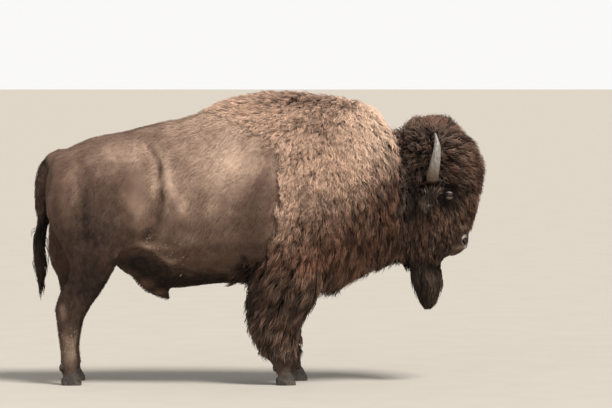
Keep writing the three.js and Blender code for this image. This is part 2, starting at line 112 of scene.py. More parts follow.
# Which way the hair lies: a place on the left side and the direction there.
LIE = [
    # rump, thigh and barrel
    ((-1.20, 0.12, 1.40), (-0.60, 0.10, -0.70)), ((-1.27, 0.18, 1.15), (-0.35, 0.00, -0.90)),
    ((-0.95, 0.28, 1.32), (-0.50, 0.10, -0.80)), ((-0.95, 0.33, 1.00), (-0.25, 0.00, -1.00)),
    ((-0.62, 0.20, 1.50), (-0.80, 0.10, -0.40)), ((-0.60, 0.35, 1.00), (-0.50, 0.00, -0.80)),
    ((-0.60, 0.25, 0.65), (-0.70, -0.20, -0.40)), ((-0.20, 0.12, 1.70), (-0.90, 0.10, -0.30)),
    ((-0.20, 0.38, 1.20), (-0.60, 0.00, -0.80)), ((-0.20, 0.38, 0.80), (-0.60, 0.00, -0.80)),
    ((-0.20, 0.12, 0.60), (-0.90, -0.20, -0.10)),
    # hind leg
    ((-1.10, 0.28, 0.70), (-0.10, 0.00, -1.00)), ((-1.13, 0.20, 0.40), (0.00, 0.00, -1.00)),
    ((-1.13, 0.20, 0.15), (0.05, 0.00, -1.00)),
    # hump and shoulder
    ((0.00, 0.06, 1.79), (-0.90, 0.20, 0.00)), ((0.20, 0.20, 1.70), (-0.45, 0.40, -0.60)),
    ((0.20, 0.38, 1.30), (-0.25, 0.00, -1.00)), ((0.20, 0.38, 1.00), (-0.25, 0.00, -1.00)),
    ((0.45, 0.06, 1.77), (-0.35, 0.60, -0.30)), ((0.50, 0.28, 1.55), (0.20, 0.20, -1.00)),
    ((0.50, 0.34, 1.20), (0.15, 0.00, -1.00)), ((0.66, 0.10, 1.72), (0.25, 0.50, -0.60)),
    # neck and brisket
    ((0.70, 0.27, 1.42), (0.45, 0.00, -0.90)), ((0.75, 0.26, 1.10), (0.20, 0.00, -1.00)),
    ((0.60, 0.30, 0.85), (0.00, 0.00, -1.00)), ((0.50, 0.10, 0.60), (0.10, 0.00, -1.00)),
    # foreleg
    ((0.10, 0.33, 0.78), (-0.55, 0.00, -0.90)), ((0.00, 0.28, 0.52), (-0.75, 0.00, -0.80)),
    ((0.28, 0.26, 0.50), (-0.50, 0.00, -0.90)), ((0.10, 0.25, 0.30), (-0.55, 0.00, -0.90)),
    ((0.15, 0.20, 0.14), (0.00, 0.00, -1.00)),
    # crown and bonnet
    ((0.98, 0.10, 1.62), (-0.20, 0.20, 1.00)), ((1.12, 0.08, 1.63), (0.45, 0.10, 1.00)),
    ((1.25, 0.08, 1.54), (0.80, 0.10, 0.60)), ((1.36, 0.08, 1.40), (1.00, 0.10, 0.10)),
    ((1.37, 0.08, 1.25), (1.00, 0.10, -0.30)), ((1.33, 0.10, 1.08), (0.60, 0.00, -0.90)),
    ((1.22, 0.20, 1.46), (0.80, 0.30, 0.20)), ((1.26, 0.20, 1.30), (0.90, 0.20, -0.30)),
    # behind the horn and ear
    ((0.95, 0.22, 1.48), (-0.35, 0.30, 0.20)), ((0.92, 0.24, 1.32), (-0.25, 0.10, -0.90)),
    ((0.92, 0.21, 1.10), (-0.10, 0.00, -1.00)),
    # cheek and face
    ((1.05, 0.18, 1.00), (0.05, 0.00, -1.00)), ((1.20, 0.15, 1.02), (0.25, 0.00, -1.00)),
    ((1.20, 0.12, 0.90), (0.35, 0.00, -0.80)),
    # throat and beard
    ((1.00, 0.13, 0.86), (0.00, 0.00, -1.00)), ((1.03, 0.08, 0.65), (0.05, 0.00, -1.00)),
    # muzzle and chin
    ((1.27, 0.06, 0.92), (0.50, 0.10, -0.50)), ((1.18, 0.08, 0.79), (-0.50, 0.00, -0.60)),
    # tail
    ((-1.30, 0.02, 1.40), (-0.80, 0.00, -0.60)), ((-1.34, 0.02, 1.20), (-0.05, 0.00, -1.00)),
    ((-1.34, 0.02, 0.80), (0.00, 0.00, -1.00)),
]

# Forms under the hair and skin: a line of places, how wide it is, and how far it stands out or sinks in.
FORMS = [
    ([(-0.80, 0.26, 1.43), (-0.90, 0.27, 1.40)], 0.060, 0.012),  # hip bone
    ([(-1.18, 0.16, 1.36), (-1.23, 0.14, 1.32)], 0.045, 0.008),  # pin bone
    # The crease before the thigh, wide and then narrow, and the fold ahead of it.
    ([(-0.64, 0.27, 1.42), (-0.60, 0.31, 1.30), (-0.59, 0.34, 1.18), (-0.61, 0.34, 1.04)], 0.050, -0.010),
    ([(-0.69, 0.186, 1.478), (-0.628, 0.235, 1.40), (-0.598, 0.272, 1.335), (-0.583, 0.31, 1.21),
      (-0.582, 0.329, 1.08), (-0.612, 0.326, 0.985), (-0.69, 0.305, 0.885)], 0.018, -0.011),
    ([(-0.575, 0.275, 1.345), (-0.535, 0.335, 1.21), (-0.48, 0.368, 1.11), (-0.425, 0.38, 1.00)],
     0.040, 0.013),
    ([(-0.74, 0.31, 1.24), (-0.73, 0.33, 1.12), (-0.77, 0.33, 0.98)], 0.085, 0.017),  # front of the thigh
    # The groove of the thigh.
    ([(-1.00, 0.32, 1.34), (-1.04, 0.33, 1.20), (-1.055, 0.33, 1.05), (-1.05, 0.31, 0.88)], 0.036, -0.014),
    ([(-1.17, 0.27, 1.24), (-1.17, 0.28, 1.10), (-1.15, 0.28, 0.96)], 0.060, 0.011),  # back of the thigh
    # The skin fold from the thigh to the belly, and the hollow under it.
    ([(-0.85, 0.27, 0.77), (-0.78, 0.28, 0.832), (-0.732, 0.29, 0.858), (-0.66, 0.29, 0.838),
      (-0.60, 0.29, 0.79), (-0.52, 0.29, 0.73)], 0.022, 0.018),
    ([(-0.84, 0.25, 0.735), (-0.78, 0.27, 0.79), (-0.732, 0.27, 0.812), (-0.66, 0.27, 0.79),
      (-0.59, 0.26, 0.74), (-0.50, 0.25, 0.69), (-0.40, 0.24, 0.65)], 0.030, -0.036),
    # Wrinkles at the knee, the hollow of the gaskin, and the tendon and hock below it.
    ([(-0.70, 0.33, 0.93), (-0.76, 0.33, 0.86)], 0.014, -0.006),
    ([(-0.68, 0.33, 0.87), (-0.73, 0.33, 0.84)], 0.012, -0.005),
    ([(-1.02, 0.29, 0.66), (-1.08, 0.26, 0.55)], 0.030, -0.008),
    ([(-1.165, 0.20, 0.60), (-1.20, 0.18, 0.50)], 0.018, 0.006),  # tendon above the hock
    ([(-1.12, 0.235, 0.62), (-1.155, 0.225, 0.50)], 0.020, -0.009),
    ([(-1.09, 0.225, 0.45), (-1.10, 0.22, 0.40)], 0.030, 0.005),  # hock
    ([(-1.15, 0.21, 0.35), (-1.15, 0.21, 0.18)], 0.014, -0.004),  # between shin and tendon
    ([(-0.34, 0.38, 1.30), (-0.30, 0.39, 1.05), (-0.34, 0.38, 0.82)], 0.030, 0.003),  # ribs
    ([(-0.18, 0.38, 1.28), (-0.15, 0.39, 1.05), (-0.20, 0.38, 0.80)], 0.030, -0.003),
    ([(-0.55, 0.05, 1.62), (-0.30, 0.05, 1.71)], 0.040, 0.004),
    ([(1.08, 0.19, 1.19), (1.15, 0.17, 1.20), (1.21, 0.14, 1.19)], 0.024, 0.010),  # brow over the eye
    ([(1.10, 0.175, 1.10), (1.17, 0.155, 1.08), (1.22, 0.13, 1.05)], 0.022, -0.006),  # below the eye
    ([(1.00, 0.16, 1.06), (1.08, 0.16, 1.02), (1.16, 0.14, 0.97)], 0.040, 0.008),  # cheekbone
    ([(1.10, 0.12, 0.90), (1.17, 0.11, 0.87)], 0.035, -0.006),
    ([(1.25, 0.085, 0.835), (1.20, 0.105, 0.828), (1.13, 0.118, 0.842)], 0.010, -0.009),  # mouth
    ([(1.26, 0.06, 0.815), (1.22, 0.085, 0.808)], 0.016, 0.006),  # lower lip
    ([(1.262, 0.085, 0.862), (1.275, 0.075, 0.892), (1.284, 0.045, 0.903)], 0.013, 0.006),  # nostril's wing
]

# The pale streaks in the ears are painted highlights on their dark locks.
EAR_HIGHLIGHT_STREAKS = 0.05  # share of the ears' tufts that are pale
FLECK_SHARE = 0.22  # share of the tufts that are pale in the middle of a cluster of flecks
# Clusters of pale flecks on the flanks and hind shins: a place and its reach.
FLECKS = [((-0.395, 0.38, 1.37), 0.075), ((-0.24, 0.39, 1.26), 0.060), ((-0.655, 0.33, 0.89), 0.050),
          ((-0.60, 0.33, 0.83), 0.050), ((-0.515, 0.35, 0.77), 0.080), ((-1.14, 0.22, 0.31), 0.050),
          ((-1.13, 0.22, 0.22), 0.060)]

RIGHT, LEFT = -1, 1
SIDES = {"right": RIGHT, "left": LEFT}


def mirrored(place, side):
    """A place or direction of the left side, on either side of the animal."""
    return Vector((place[0], place[1] * side, place[2]))


# ---------------------------------------------------------------- small tools

def rise(value, low, high):
    """From 0 at low to 1 at high, smoothly. Low may be over high."""
    t = np.clip((value - low) / (high - low), 0, 1)
    return t * t * (3 - 2 * t)


def ridge(gap, width):
    """1 where the gap is nothing, fading to 0 at about twice the width."""
    return np.exp(-((gap / width) ** 2))


def unit(vectors):
    return vectors / np.maximum(np.linalg.norm(vectors, axis=-1, keepdims=True), 1e-9)


def swell(places, size, seed):
    """A smooth random field from -1 to 1 whose lumps are about one size across."""
    random = np.random.default_rng(seed)
    ways = unit(random.normal(size=(9, 3))) * (2 * math.pi / size) * random.uniform(0.5, 1.2, (9, 1))
    return np.sin(places @ ways.T + random.uniform(0, 6.3, 9)).sum(1) / 5


def line_distance(places, line):
    """How far each place is from a line of points, and how far along the line its nearest point is."""
    best = np.full(len(places), 1e9)
    along = np.zeros(len(places))
    line = np.array([tuple(point) for point in line], float)
    for i, (start, end) in enumerate(zip(line, line[1:])):
        run = end - start
        t = np.clip((places - start) @ run / (run @ run), 0, 1)
        gap = np.linalg.norm(places - start - t[:, None] * run, axis=1)
        along = np.where(gap < best, (i + t) / (len(line) - 1), along)
        best = np.minimum(best, gap)
    return best, along


def deselect():
    bpy.ops.object.select_all(action="DESELECT")


def make_active(piece):
    deselect()
    piece.select_set(True)
    bpy.context.view_layer.objects.active = piece


def finish_modifier(piece, kind, **settings):
    """Adds a modifier to a piece and applies it."""
    make_active(piece)
    modifier = piece.modifiers.new(kind.title(), kind)
    for setting, value in settings.items():
        setattr(modifier, setting, value)
    bpy.ops.object.modifier_apply(modifier=modifier.name)


def edit_all(operator, **settings):
    """Runs an edit-mode operator on all of the active piece."""
    bpy.ops.object.mode_set(mode="EDIT")
    bpy.ops.mesh.select_all(action="SELECT")
    operator(**settings)
    bpy.ops.object.mode_set(mode="OBJECT")


def joined_copy(name, nodes):
    """Copies of CAD nodes as one object, with the corners of their loose triangles merged."""
    deselect()
    for node in nodes:
        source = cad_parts[node]
        copy = bpy.data.objects.new(name, source.data.copy())
        copy.data.materials.clear()
        bpy.context.collection.objects.link(copy)
        copy.select_set(True)
        bpy.context.view_layer.objects.active = copy
    if len(nodes) > 1:
        bpy.ops.object.join()
    piece = bpy.context.view_layer.objects.active
    piece.name = piece.data.name = name
    edit_all(bpy.ops.mesh.remove_doubles, threshold=1e-5)
    return piece


def join(pieces):
    """Joins pieces into the first of them."""
    make_active(pieces[0])
    for piece in pieces[1:]:
        piece.select_set(True)
    bpy.ops.object.join()
    return pieces[0]


def read(collection, field, width, kind=np.float32):
    """One field of a mesh's parts as a table with a row for each part."""
    values = np.empty(len(collection) * width, kind)
    collection.foreach_get(field, values)
    return values.reshape(-1, width)


def corners_of(piece):
    return read(piece.data.vertices, "co", 3).astype(float)


def set_corners(piece, places):
    """Moves the corners of a piece."""
    piece.data.vertices.foreach_set("co", places.astype(np.float32).ravel())
    piece.data.update()


def normals_of(piece):
    return read(piece.data.vertex_normals, "vector", 3).astype(float)


def add_values(piece, name, kind, values):
    """Stores a number or colour at each corner of a piece."""
    attribute = piece.data.attributes.new(name, kind, "POINT")
    field = "color" if kind == "FLOAT_COLOR" else "value"
    attribute.data.foreach_set(field, np.ascontiguousarray(values, np.float32).ravel())


def tree_of(piece):
    """A piece's surface as a tree that finds the nearest place on it."""
    return BVHTree.FromObject(piece, bpy.context.evaluated_depsgraph_get())


def soften(piece, values, strength, rounds, keep_size=True):
    """Evens out values at the corners of a piece. With keep_size it doesn't shrink what it evens out."""
    first, second = read(piece.data.edges, "vertices", 2, np.int32).T
    count = len(piece.data.vertices)
    neighbours = np.maximum(np.bincount(first, minlength=count) + np.bincount(second, minlength=count), 1)
    values = values.reshape(count, -1).astype(float)
    strength = np.broadcast_to(strength, count)[:, None]
    for step in range(rounds * 2 if keep_size else rounds):
        share = -1.02 if keep_size and step % 2 else 1.0
        mean = np.stack([
            np.bincount(first, column[second], count) + np.bincount(second, column[first], count)
            for column in values.T
        ], 1) / neighbours[:, None]
        values = values + (mean - values) * strength * share
    return values


def smooth_corners(piece, strength, rounds):
    """Smooths a piece, by a strength that may differ from corner to corner."""
    set_corners(piece, soften(piece, corners_of(piece), strength, rounds))


def one_side(places):
    """Places of both sides, all moved to the left one."""
    return places * [1, 0, 1] + np.abs(places * [0, 1, 0])


# ---------------------------------------------------------------- zones of the coat

def head_edge(z):
    """Where the head begins, at a height."""
    return np.interp(z, [0.648, 1.690], [0.893, 0.802])


def cape_edge(z):
    """Where the woolly cape begins behind the shoulder, at a height."""
    heights = [0.50, 0.62, 0.75, 0.90, 1.05, 1.22, 1.38, 1.50, 1.60, 1.68]
    return np.interp(z, heights, [-0.14, -0.09, 0.03, 0.08, 0.10, 0.13, 0.09, -0.02, -0.22, -0.42])


def mane_edge(x):
    """Under this height the cape turns into the russet mane."""
    places = [0.00, 0.10, 0.30, 0.50, 0.62, 0.72, 0.80]
    return np.interp(x, places, [0.86, 0.90, 1.02, 1.10, 1.22, 1.44, 1.66])


def zone_shares(places):
    """How much each zone of the coat has of each place. Each zone is painted over the ones before it.

    The two numbers in each rise are where along the axis the zone begins and where it is full.
    """
    x, y, z = places[:, 0], np.abs(places[:, 1]), places[:, 2]
    ragged = 0.018 * swell(places, 0.09, 3) + 0.010 * swell(places, 0.035, 4)
    on_head = rise(x - head_edge(z) + ragged, -0.015, 0.015) * rise(z, 0.40, 0.46)
    front = rise(x - cape_edge(z) + 1.8 * ragged, -0.01, np.interp(z, [1.3, 1.6], [0.03, 0.22]))
    chaps = rise(z + 2 * ragged, 0.80, 0.66) * rise(x, 0.46, 0.38) * rise(x, -0.16, -0.10)
    bonnet = on_head * rise(z - 0.25 * (1.36 - x) + ragged, 1.13, 1.23) * rise(x + ragged, 1.09, 1.135)
    crown = on_head * rise(z, 1.44, 1.54) * rise(y, 0.20, 0.12)
    muzzle = on_head * rise(x + 0.35 * (0.95 - z), 1.185, 1.235) * rise(z, 1.00, 0.93)
    back_line = np.interp(x, [-1.2, -0.6, -0.1], [1.50, 1.52, 1.50])
    horn_gap, _ = line_distance(one_side(places), HORN_LINE)
    ear_gap, _ = line_distance(one_side(places), EAR_LINE)
    masks = {
        "back": rise(z - back_line, -0.05, 0.12) * rise(x, -0.9, -0.3),
        "belly": rise(z + ragged, 0.74, 0.62) * rise(x, -0.95, -0.80) * (1 - rise(x, -0.02, 0.02)),
        "hock": rise(z + ragged, 0.80, 0.50) * rise(x, -0.80, -0.88),
        "cape": front,
        "mane": front * rise(mane_edge(x) - z + 3 * ragged, -0.16, 0.16),
        "brisket": front * rise(z + ragged, 0.86, 0.72) * rise(x, 0.30, 0.42),
        "chaps": chaps * rise(y, 0.03, 0.06),
        "shin": rise(z, 0.235, 0.165) * rise(x, -0.30, -0.20),
        "face": on_head,
        "bridge": on_head * rise(x + ragged, 1.23, 1.29) * rise(z, 0.95, 1.02) * rise(y, 0.16, 0.11),
        "temple": on_head * rise(z + ragged, 1.15, 1.22) * rise(x + ragged, 1.135, 1.095),
        "bonnet": np.maximum(bonnet, crown) * rise(horn_gap, 0.035, 0.075),
        "muzzle": muzzle * rise(z, 0.74, 0.79),
        "beard": on_head * rise(z + 0.3 * (x - 1.0), 0.84, 0.78) * rise(x, 1.19, 1.14),
        "ear": on_head * rise(ear_gap, 0.070, 0.062) * rise(y, 0.206, 0.222),
        "dock": rise(x, -1.296, -1.304) * rise(y, 0.07, 0.045),
        "switch": rise(x, -1.270, -1.290) * rise(z + 2 * ragged, 1.06, 0.98) * rise(y, 0.09, 0.06),
    }
    shares = np.zeros((len(places), len(ZONE_NAMES)))
    shares[:, 0] = 1
    for zone, mask in masks.items():
        shares *= 1 - mask[:, None]
        shares[:, ZONE_NAMES.index(zone)] += mask
    return shares


def lie_at(places, normals):
    """The direction in which the hair lies at each place, along the skin."""
    spots = np.array([mirrored(place, side) for place, _ in LIE for side in (LEFT, RIGHT)])
    ways = unit(np.array([mirrored(way, side) for _, way in LIE for side in (LEFT, RIGHT)]))
    gaps = np.linalg.norm(places[:, None] - spots[None], axis=2)
    shares = 1 / (gaps + 0.03) ** 4
    way = (shares @ ways) / shares.sum(1, keepdims=True)
    along = way - normals * np.sum(way * normals, 1, keepdims=True)
    sag = np.array([0, 0, -1.0]) - normals * -normals[:, 2:]
    return unit(along + 0.05 * sag)


# Soft patches of colour: a place, its reach along X, Y and Z, and what it adds to the shares of tan,
# russet, near-black and dust. Some are painted shade in creases, hollows and underneath, and some are
# painted highlights on folds, bulges and edges.
PATCHES = [
    ((-0.22, 0.30, 1.40), (0.34, 0.50, 0.30), (0.08, 0.00, 0.00, 0.34)),  # upper barrel
    ((-0.16, 0.37, 1.34), (0.15, 0.30, 0.10), (0.20, 0.00, 0.00, 0.34)),  # below the cape's edge
    # Painted highlight along the fold ahead of the crease, made with the pale tan and dust colours.
    ((-0.565, 0.32, 1.29), (0.036, 0.20, 0.09), (0.10, 0.00, -0.06, 0.36)),  # fold before the crease
    ((-0.520, 0.35, 1.18), (0.044, 0.20, 0.09), (0.12, 0.00, -0.08, 0.42)),
    ((-0.455, 0.37, 1.06), (0.060, 0.20, 0.10), (0.06, 0.00, -0.04, 0.22)),
    # Painted highlight on the bulge of the thigh just behind the crease.
    ((-0.640, 0.30, 1.25), (0.032, 0.20, 0.10), (0.06, 0.00, -0.06, 0.26)),  # behind the crease
    ((-0.80, 0.25, 1.41), (0.20, 0.30, 0.08), (0.06, 0.00, 0.00, 0.30)),  # hip
    ((-1.08, 0.20, 1.38), (0.16, 0.20, 0.10), (0.00, 0.00, 0.08, -0.02)),  # rump
    # Painted highlight on the rounded front of the thigh.
    ((-0.73, 0.33, 1.10), (0.06, 0.20, 0.09), (0.04, 0.04, -0.20, 0.20)),  # front of the thigh
    ((-1.00, 0.33, 1.12), (0.22, 0.30, 0.22), (0.00, 0.00, 0.36, -0.14)),  # thigh
    ((-0.96, 0.33, 0.90), (0.26, 0.30, 0.20), (0.00, 0.02, 0.42, -0.10)),
    # Painted highlight on the rounded back of the thigh.
    ((-1.11, 0.24, 1.18), (0.04, 0.20, 0.17), (0.00, 0.00, -0.24, 0.16)),  # back of the thigh
    ((-1.10, 0.28, 0.88), (0.20, 0.30, 0.14), (0.00, 0.00, 0.30, -0.06)),
    # Painted shade in the crease before the thigh: near-black in place of dust along it.
    ((-0.632, 0.24, 1.40), (0.020, 0.20, 0.045), (0.00, 0.00, 0.30, -0.26)),  # crease before the thigh
    ((-0.598, 0.28, 1.31), (0.018, 0.20, 0.060), (0.00, 0.00, 0.40, -0.34)),
    ((-0.578, 0.32, 1.17), (0.024, 0.20, 0.085), (0.00, 0.00, 0.46, -0.34)),
    ((-0.594, 0.33, 1.03), (0.022, 0.20, 0.060), (0.00, 0.00, 0.42, -0.30)),
    ((-0.650, 0.32, 0.94), (0.036, 0.20, 0.036), (0.00, 0.00, 0.46, -0.26)),
    # Painted shade in the groove of the thigh.
    ((-1.030, 0.33, 1.14), (0.026, 0.20, 0.18), (0.00, 0.00, 0.22, -0.10)),  # groove of the thigh
    ((-1.00, 0.26, 0.66), (0.24, 0.30, 0.18), (0.00, 0.14, 0.42, -0.16)),  # gaskin
    # Painted shadow under the skin fold: near-black along the hollow below it.
    ((-0.70, 0.26, 0.72), (0.13, 0.25, 0.070), (-0.05, 0.00, 1.20, -0.50)),  # under the skin fold
    ((-0.80, 0.05, 0.675), (0.08, 0.30, 0.040), (0.02, 0.14, -1.10, 0.20)),  # sheath
    ((-0.70, 0.05, 0.605), (0.08, 0.30, 0.032), (0.00, 0.14, -1.20, 0.14)),
    ((-0.60, 0.05, 0.548), (0.07, 0.30, 0.028), (0.00, 0.12, -1.00, 0.06)),
    # Painted highlight along the ridge of the skin fold.
    ((-0.66, 0.30, 0.845), (0.14, 0.20, 0.022), (0.10, 0.06, -0.20, 0.22)),  # skin fold
    ((-0.56, 0.28, 0.760), (0.09, 0.20, 0.030), (0.10, 0.06, -0.20, 0.20)),
    ((-0.02, 0.38, 0.94), (0.12, 0.30, 0.34), (0.00, 0.04, 0.40, -0.36)),  # behind the elbow
    # The lower barrel, the belly and between the thighs are darker partly for their near-black hair and
    # partly as painted shade underneath.
    ((-0.36, 0.30, 0.70), (0.44, 0.50, 0.14), (0.00, 0.04, 0.24, -0.20)),  # lower barrel
    ((-0.20, 0.10, 0.58), (0.50, 0.30, 0.08), (0.00, 0.10, 0.54, -0.24)),  # belly
    ((-1.02, 0.06, 0.75), (0.20, 0.10, 0.24), (0.00, 0.00, 0.45, -0.20)),  # between the thighs
    # Painted shade in the dark gap between the tail and the rump.
    ((-1.296, 0.02, 1.20), (0.014, 0.06, 0.24), (-0.30, 0.00, 1.20, -0.40)),  # beside the tail
    ((-0.60, 0.00, 1.62), (0.50, 0.05, 0.14), (-0.10, 0.00, 0.34, -0.20)),  # line of the back
    ((-1.14, 0.20, 0.22), (0.05, 0.08, 0.10), (0.04, 0.00, -0.20, 0.34)),  # dusty hind shin
    ((-1.19, 0.20, 0.44), (0.03, 0.06, 0.05), (0.00, 0.00, -0.16, 0.26)),
    # Pale dust on the front of the hump, which also serves as a painted highlight there.
    ((0.70, 0.20, 1.58), (0.16, 0.30, 0.24), (0.40, -0.20, 0.00, 0.90)),  # front of the hump
    ((0.28, 0.10, 1.80), (0.34, 0.30, 0.13), (-0.60, 0.16, 0.26, 0.00)),  # top of the hump
    ((0.42, 0.25, 1.60), (0.13, 0.30, 0.12), (-0.30, 0.10, 0.16, 0.00)),
    ((0.36, 0.30, 1.14), (0.16, 0.30, 0.14), (-0.20, 0.10, 0.12, 0.00)),
    ((0.20, 0.36, 0.98), (0.16, 0.30, 0.10), (0.16, 0.00, -0.06, 0.00)),  # lower edge of the cape
    ((0.34, 0.35, 0.76), (0.11, 0.20, 0.13), (0.10, 0.20, -0.26, 0.00)),  # front of the forearm
    ((0.58, 0.33, 0.80), (0.08, 0.25, 0.10), (0.08, 0.14, -0.34, 0.00)),  # lower side of the neck
    ((0.12, 0.38, 0.66), (0.09, 0.20, 0.10), (0.10, 0.00, -0.14, 0.00)),  # elbow
    ((0.72, 0.26, 1.04), (0.16, 0.30, 0.22), (-0.16, 0.04, 0.36, 0.00)),  # side of the neck
    # Painted shadow in the hollow behind the ear.
    ((0.92, 0.22, 1.14), (0.060, 0.20, 0.10), (-0.40, -0.50, 1.00, 0.00)),  # behind the ear
    ((1.12, 0.16, 1.03), (0.10, 0.14, 0.06), (0.10, 0.08, -0.28, 0.00)),  # cheek
    ((1.12, 0.14, 0.88), (0.14, 0.20, 0.09), (-0.06, -0.08, 0.30, 0.00)),  # lower face
    ((0.84, 0.20, 0.86), (0.09, 0.30, 0.14), (0.00, -0.16, 0.30, 0.00)),  # throat
    ((1.35, 0.00, 1.34), (0.08, 0.30, 0.24), (0.06, 0.30, -0.36, 0.00)),  # front of the bonnet
    ((1.04, 0.10, 1.62), (0.18, 0.20, 0.06), (0.08, 0.10, -0.26, 0.00)),  # crown
    ((1.150, 0.17, 1.15), (0.080, 0.08, 0.074), (-0.12, -0.40, 1.10, 0.00)),  # round the eye
    # Painted shade in the hollow of the ear.
    ((1.026, 0.28, 1.130), (0.026, 0.05, 0.034), (-0.20, -0.30, 0.90, -0.10)),  # inside the ear
    # Painted highlight along the ear's front edge and at its tip.
    ((1.084, 0.23, 1.16), (0.012, 0.06, 0.045), (0.20, 0.20, -0.50, 0.10)),  # front edge of the ear
    ((1.01, 0.28, 1.07), (0.022, 0.04, 0.022), (0.20, 0.16, -0.40, 0.10)),  # tip of the ear
    ((1.24, 0.10, 0.82), (0.05, 0.06, 0.020), (0.14, 0.06, -0.22, 0.08)),  # lips
]


def tones_at(places, shares):
    """The colour of the coat at each place, as shares of tan, russet, near-black and dust, with the painted
    shade and painted highlights of the patches in it.
    """
    tones = shares @ ZONE_TABLE[:, TONES]
    ragged = one_side(places) + 0.02 * np.stack([swell(places, 0.16, 20 + axis) for axis in range(3)], 1)
    for middle, reach, change in PATCHES:
        gap = np.linalg.norm((ragged - middle) / reach, axis=1)
        tones = tones + np.exp(-1.2 * gap**2)[:, None] * change
    blotches = swell(places, 0.11, 8)[:, None] * [0.07, 0.04, 0.08, 0.07]
    blotches += swell(places * [1, 1, 0.6], 0.035, 9)[:, None] * [0.03, 0.02, 0.05, 0.05]
    return np.clip(tones + blotches, 0, 1)


# ---------------------------------------------------------------- the skin

def ball(place, radii):
    """A sphere stretched to its radii, to plug a seat in the flesh."""
    deselect()
    bpy.ops.mesh.primitive_uv_sphere_add(segments=24, ring_count=16, radius=1)
    piece = bpy.context.active_object
    piece.data.transform(Matrix.Translation(place) @ Matrix.Diagonal((*radii, 1)))
    return piece


def remeshed(name, nodes, voxel, plugs=()):
    """The flesh of some CAD nodes as one closed skin of even faces."""
    piece = joined_copy(name, nodes)
    finish_modifier(piece, "DISPLACE", strength=GROWN, mid_level=0.0)
    if plugs:
        piece = join([piece, *plugs])
    finish_modifier(piece, "REMESH", mode="VOXEL", voxel_size=voxel)
    bpy.ops.object.mode_set(mode="EDIT")
    bpy.ops.mesh.select_all(action="DESELECT")
    bpy.ops.object.mode_set(mode="OBJECT")
    return piece


def largest_island(piece):
    """Deletes loose islands inside a skin."""
    count = len(piece.data.vertices)
    first, second = read(piece.data.edges, "vertices", 2, np.int32).T
    label = np.arange(count)
    while True:
        least = label.copy()
        np.minimum.at(least, first, label[second])
        np.minimum.at(least, second, label[first])
        least = least[least]
        if (least == label).all():
            break
        label = least
    keep = label == np.bincount(label).argmax()
    if not keep.all():
        make_active(piece)
        piece.data.vertices.foreach_set("select", ~keep)
        bpy.ops.object.mode_set(mode="EDIT")
        bpy.ops.mesh.delete(type="VERT")
        bpy.ops.object.mode_set(mode="OBJECT")


def thickness_at(piece, places, normals):
    """How thick the piece is under each corner."""
    tree = tree_of(piece)
    thickness = np.full(len(places), 1.0)
    for i, (place, normal) in enumerate(zip(places, normals)):
        start = Vector(place - normal * 0.002)
        hit = tree.ray_cast(start, Vector(-normal), 1.0)
        if hit[3] is not None:
            thickness[i] = hit[3]
    return thickness


def lay_inside(piece, depth):
    """Moves a skin inwards by a depth at each corner, and never past the middle of what it wraps."""
    places, normals = corners_of(piece), normals_of(piece)
    depth = np.minimum(depth, 0.42 * thickness_at(piece, places, normals))
    depth = soften(piece, depth, 0.6, 8, keep_size=False)
    set_corners(piece, places - normals * depth)


def press_forms(piece):
    """Raises the bones and muscles and presses in the folds."""
    places, normals = corners_of(piece), normals_of(piece)
    move = np.zeros(len(places))
    for line, width, height in FORMS:
        for side in (LEFT, RIGHT):
            gap, _ = line_distance(places, [mirrored(point, side) for point in line])
            move += height * ridge(gap, width)
    set_corners(piece, places + normals * move[:, None])


def both_sides(place, reach):
    """A spot and its reach, on the left and on the right."""
    return [(mirrored(place, side), reach) for side in (LEFT, RIGHT)]


def refine(piece, spots):
    """Divides the faces near some places, each given with its reach."""
    make_active(piece)
    bpy.ops.object.mode_set(mode="EDIT")
    bpy.ops.mesh.select_mode(type="FACE")
    bpy.ops.mesh.select_all(action="DESELECT")
    bpy.ops.object.mode_set(mode="OBJECT")
    centres = read(piece.data.polygons, "center", 3)
    near = np.zeros(len(centres), bool)
    for place, reach in spots:
        near |= (((centres - np.array(place)) / reach) ** 2).sum(1) < 1
    piece.data.polygons.foreach_set("select", near)
    bpy.ops.object.mode_set(mode="EDIT")
    bpy.ops.mesh.subdivide(number_cuts=1, smoothness=0.0)
    bpy.ops.object.mode_set(mode="OBJECT")


def eye_frame(side):
    """The directions out of an eye, along its opening towards the nose, and up across it."""
    out = mirrored(EYE_OUT, side)
    along = mirrored(EYE_FISSURE, side)
    along = (along - out * along.dot(out)).normalized()
    up = along.cross(out) * (1 if along.cross(out).z > 0 else -1)
    return np.array(out), np.array(along), np.array(up)


def measured(places, middle, side, *ways):
    """How far places are from a middle in each of some directions."""
    local = places - np.array(mirrored(middle, side))
    return [local @ way for way in ways]


def shape_lids(piece):
    """Wraps the skin round each eyeball in two lids that meet at both ends, and opens it between them."""
    places = corners_of(piece)
    for side in (LEFT, RIGHT):
        out, along, up = eye_frame(side)
        u, v, w = measured(places, EYE, side, along, up, out)
        half_height = np.maximum(EYE_OPENING[1] * (1 - 0.35 * (u / 0.024) ** 2), 0.004)
        opening = np.hypot(u / EYE_OPENING[0], v / half_height)
        reach = np.sqrt(u**2 + v**2)
        near = (w > -0.03) & (reach < 0.075)
        cover = np.sqrt(np.maximum((EYE_RADIUS + LID_DEPTH) ** 2 - reach**2, 0))
        lid = np.where(opening < 1, -0.004, cover - 0.002 + 0.003 * ridge(opening - 1.25, 0.22))
        crease = -0.006 * ridge(v - 0.021 + 12 * u**2, 0.0045) * rise(np.abs(u), 0.034, 0.022)
        bag = -0.004 * ridge(v + 0.024 - 10 * u**2, 0.004) * rise(np.abs(u), 0.030, 0.018)
        share = rise(reach, 0.036, 0.024)
        target = w * (1 - share) + lid * share + crease + bag
        opened = rise(opening, 1.12, 0.92)
        target = np.where(near, target * (1 - opened) + (EYE_RADIUS - 0.016) * opened, w)
        places += np.outer(target - w, out)
    set_corners(piece, places)


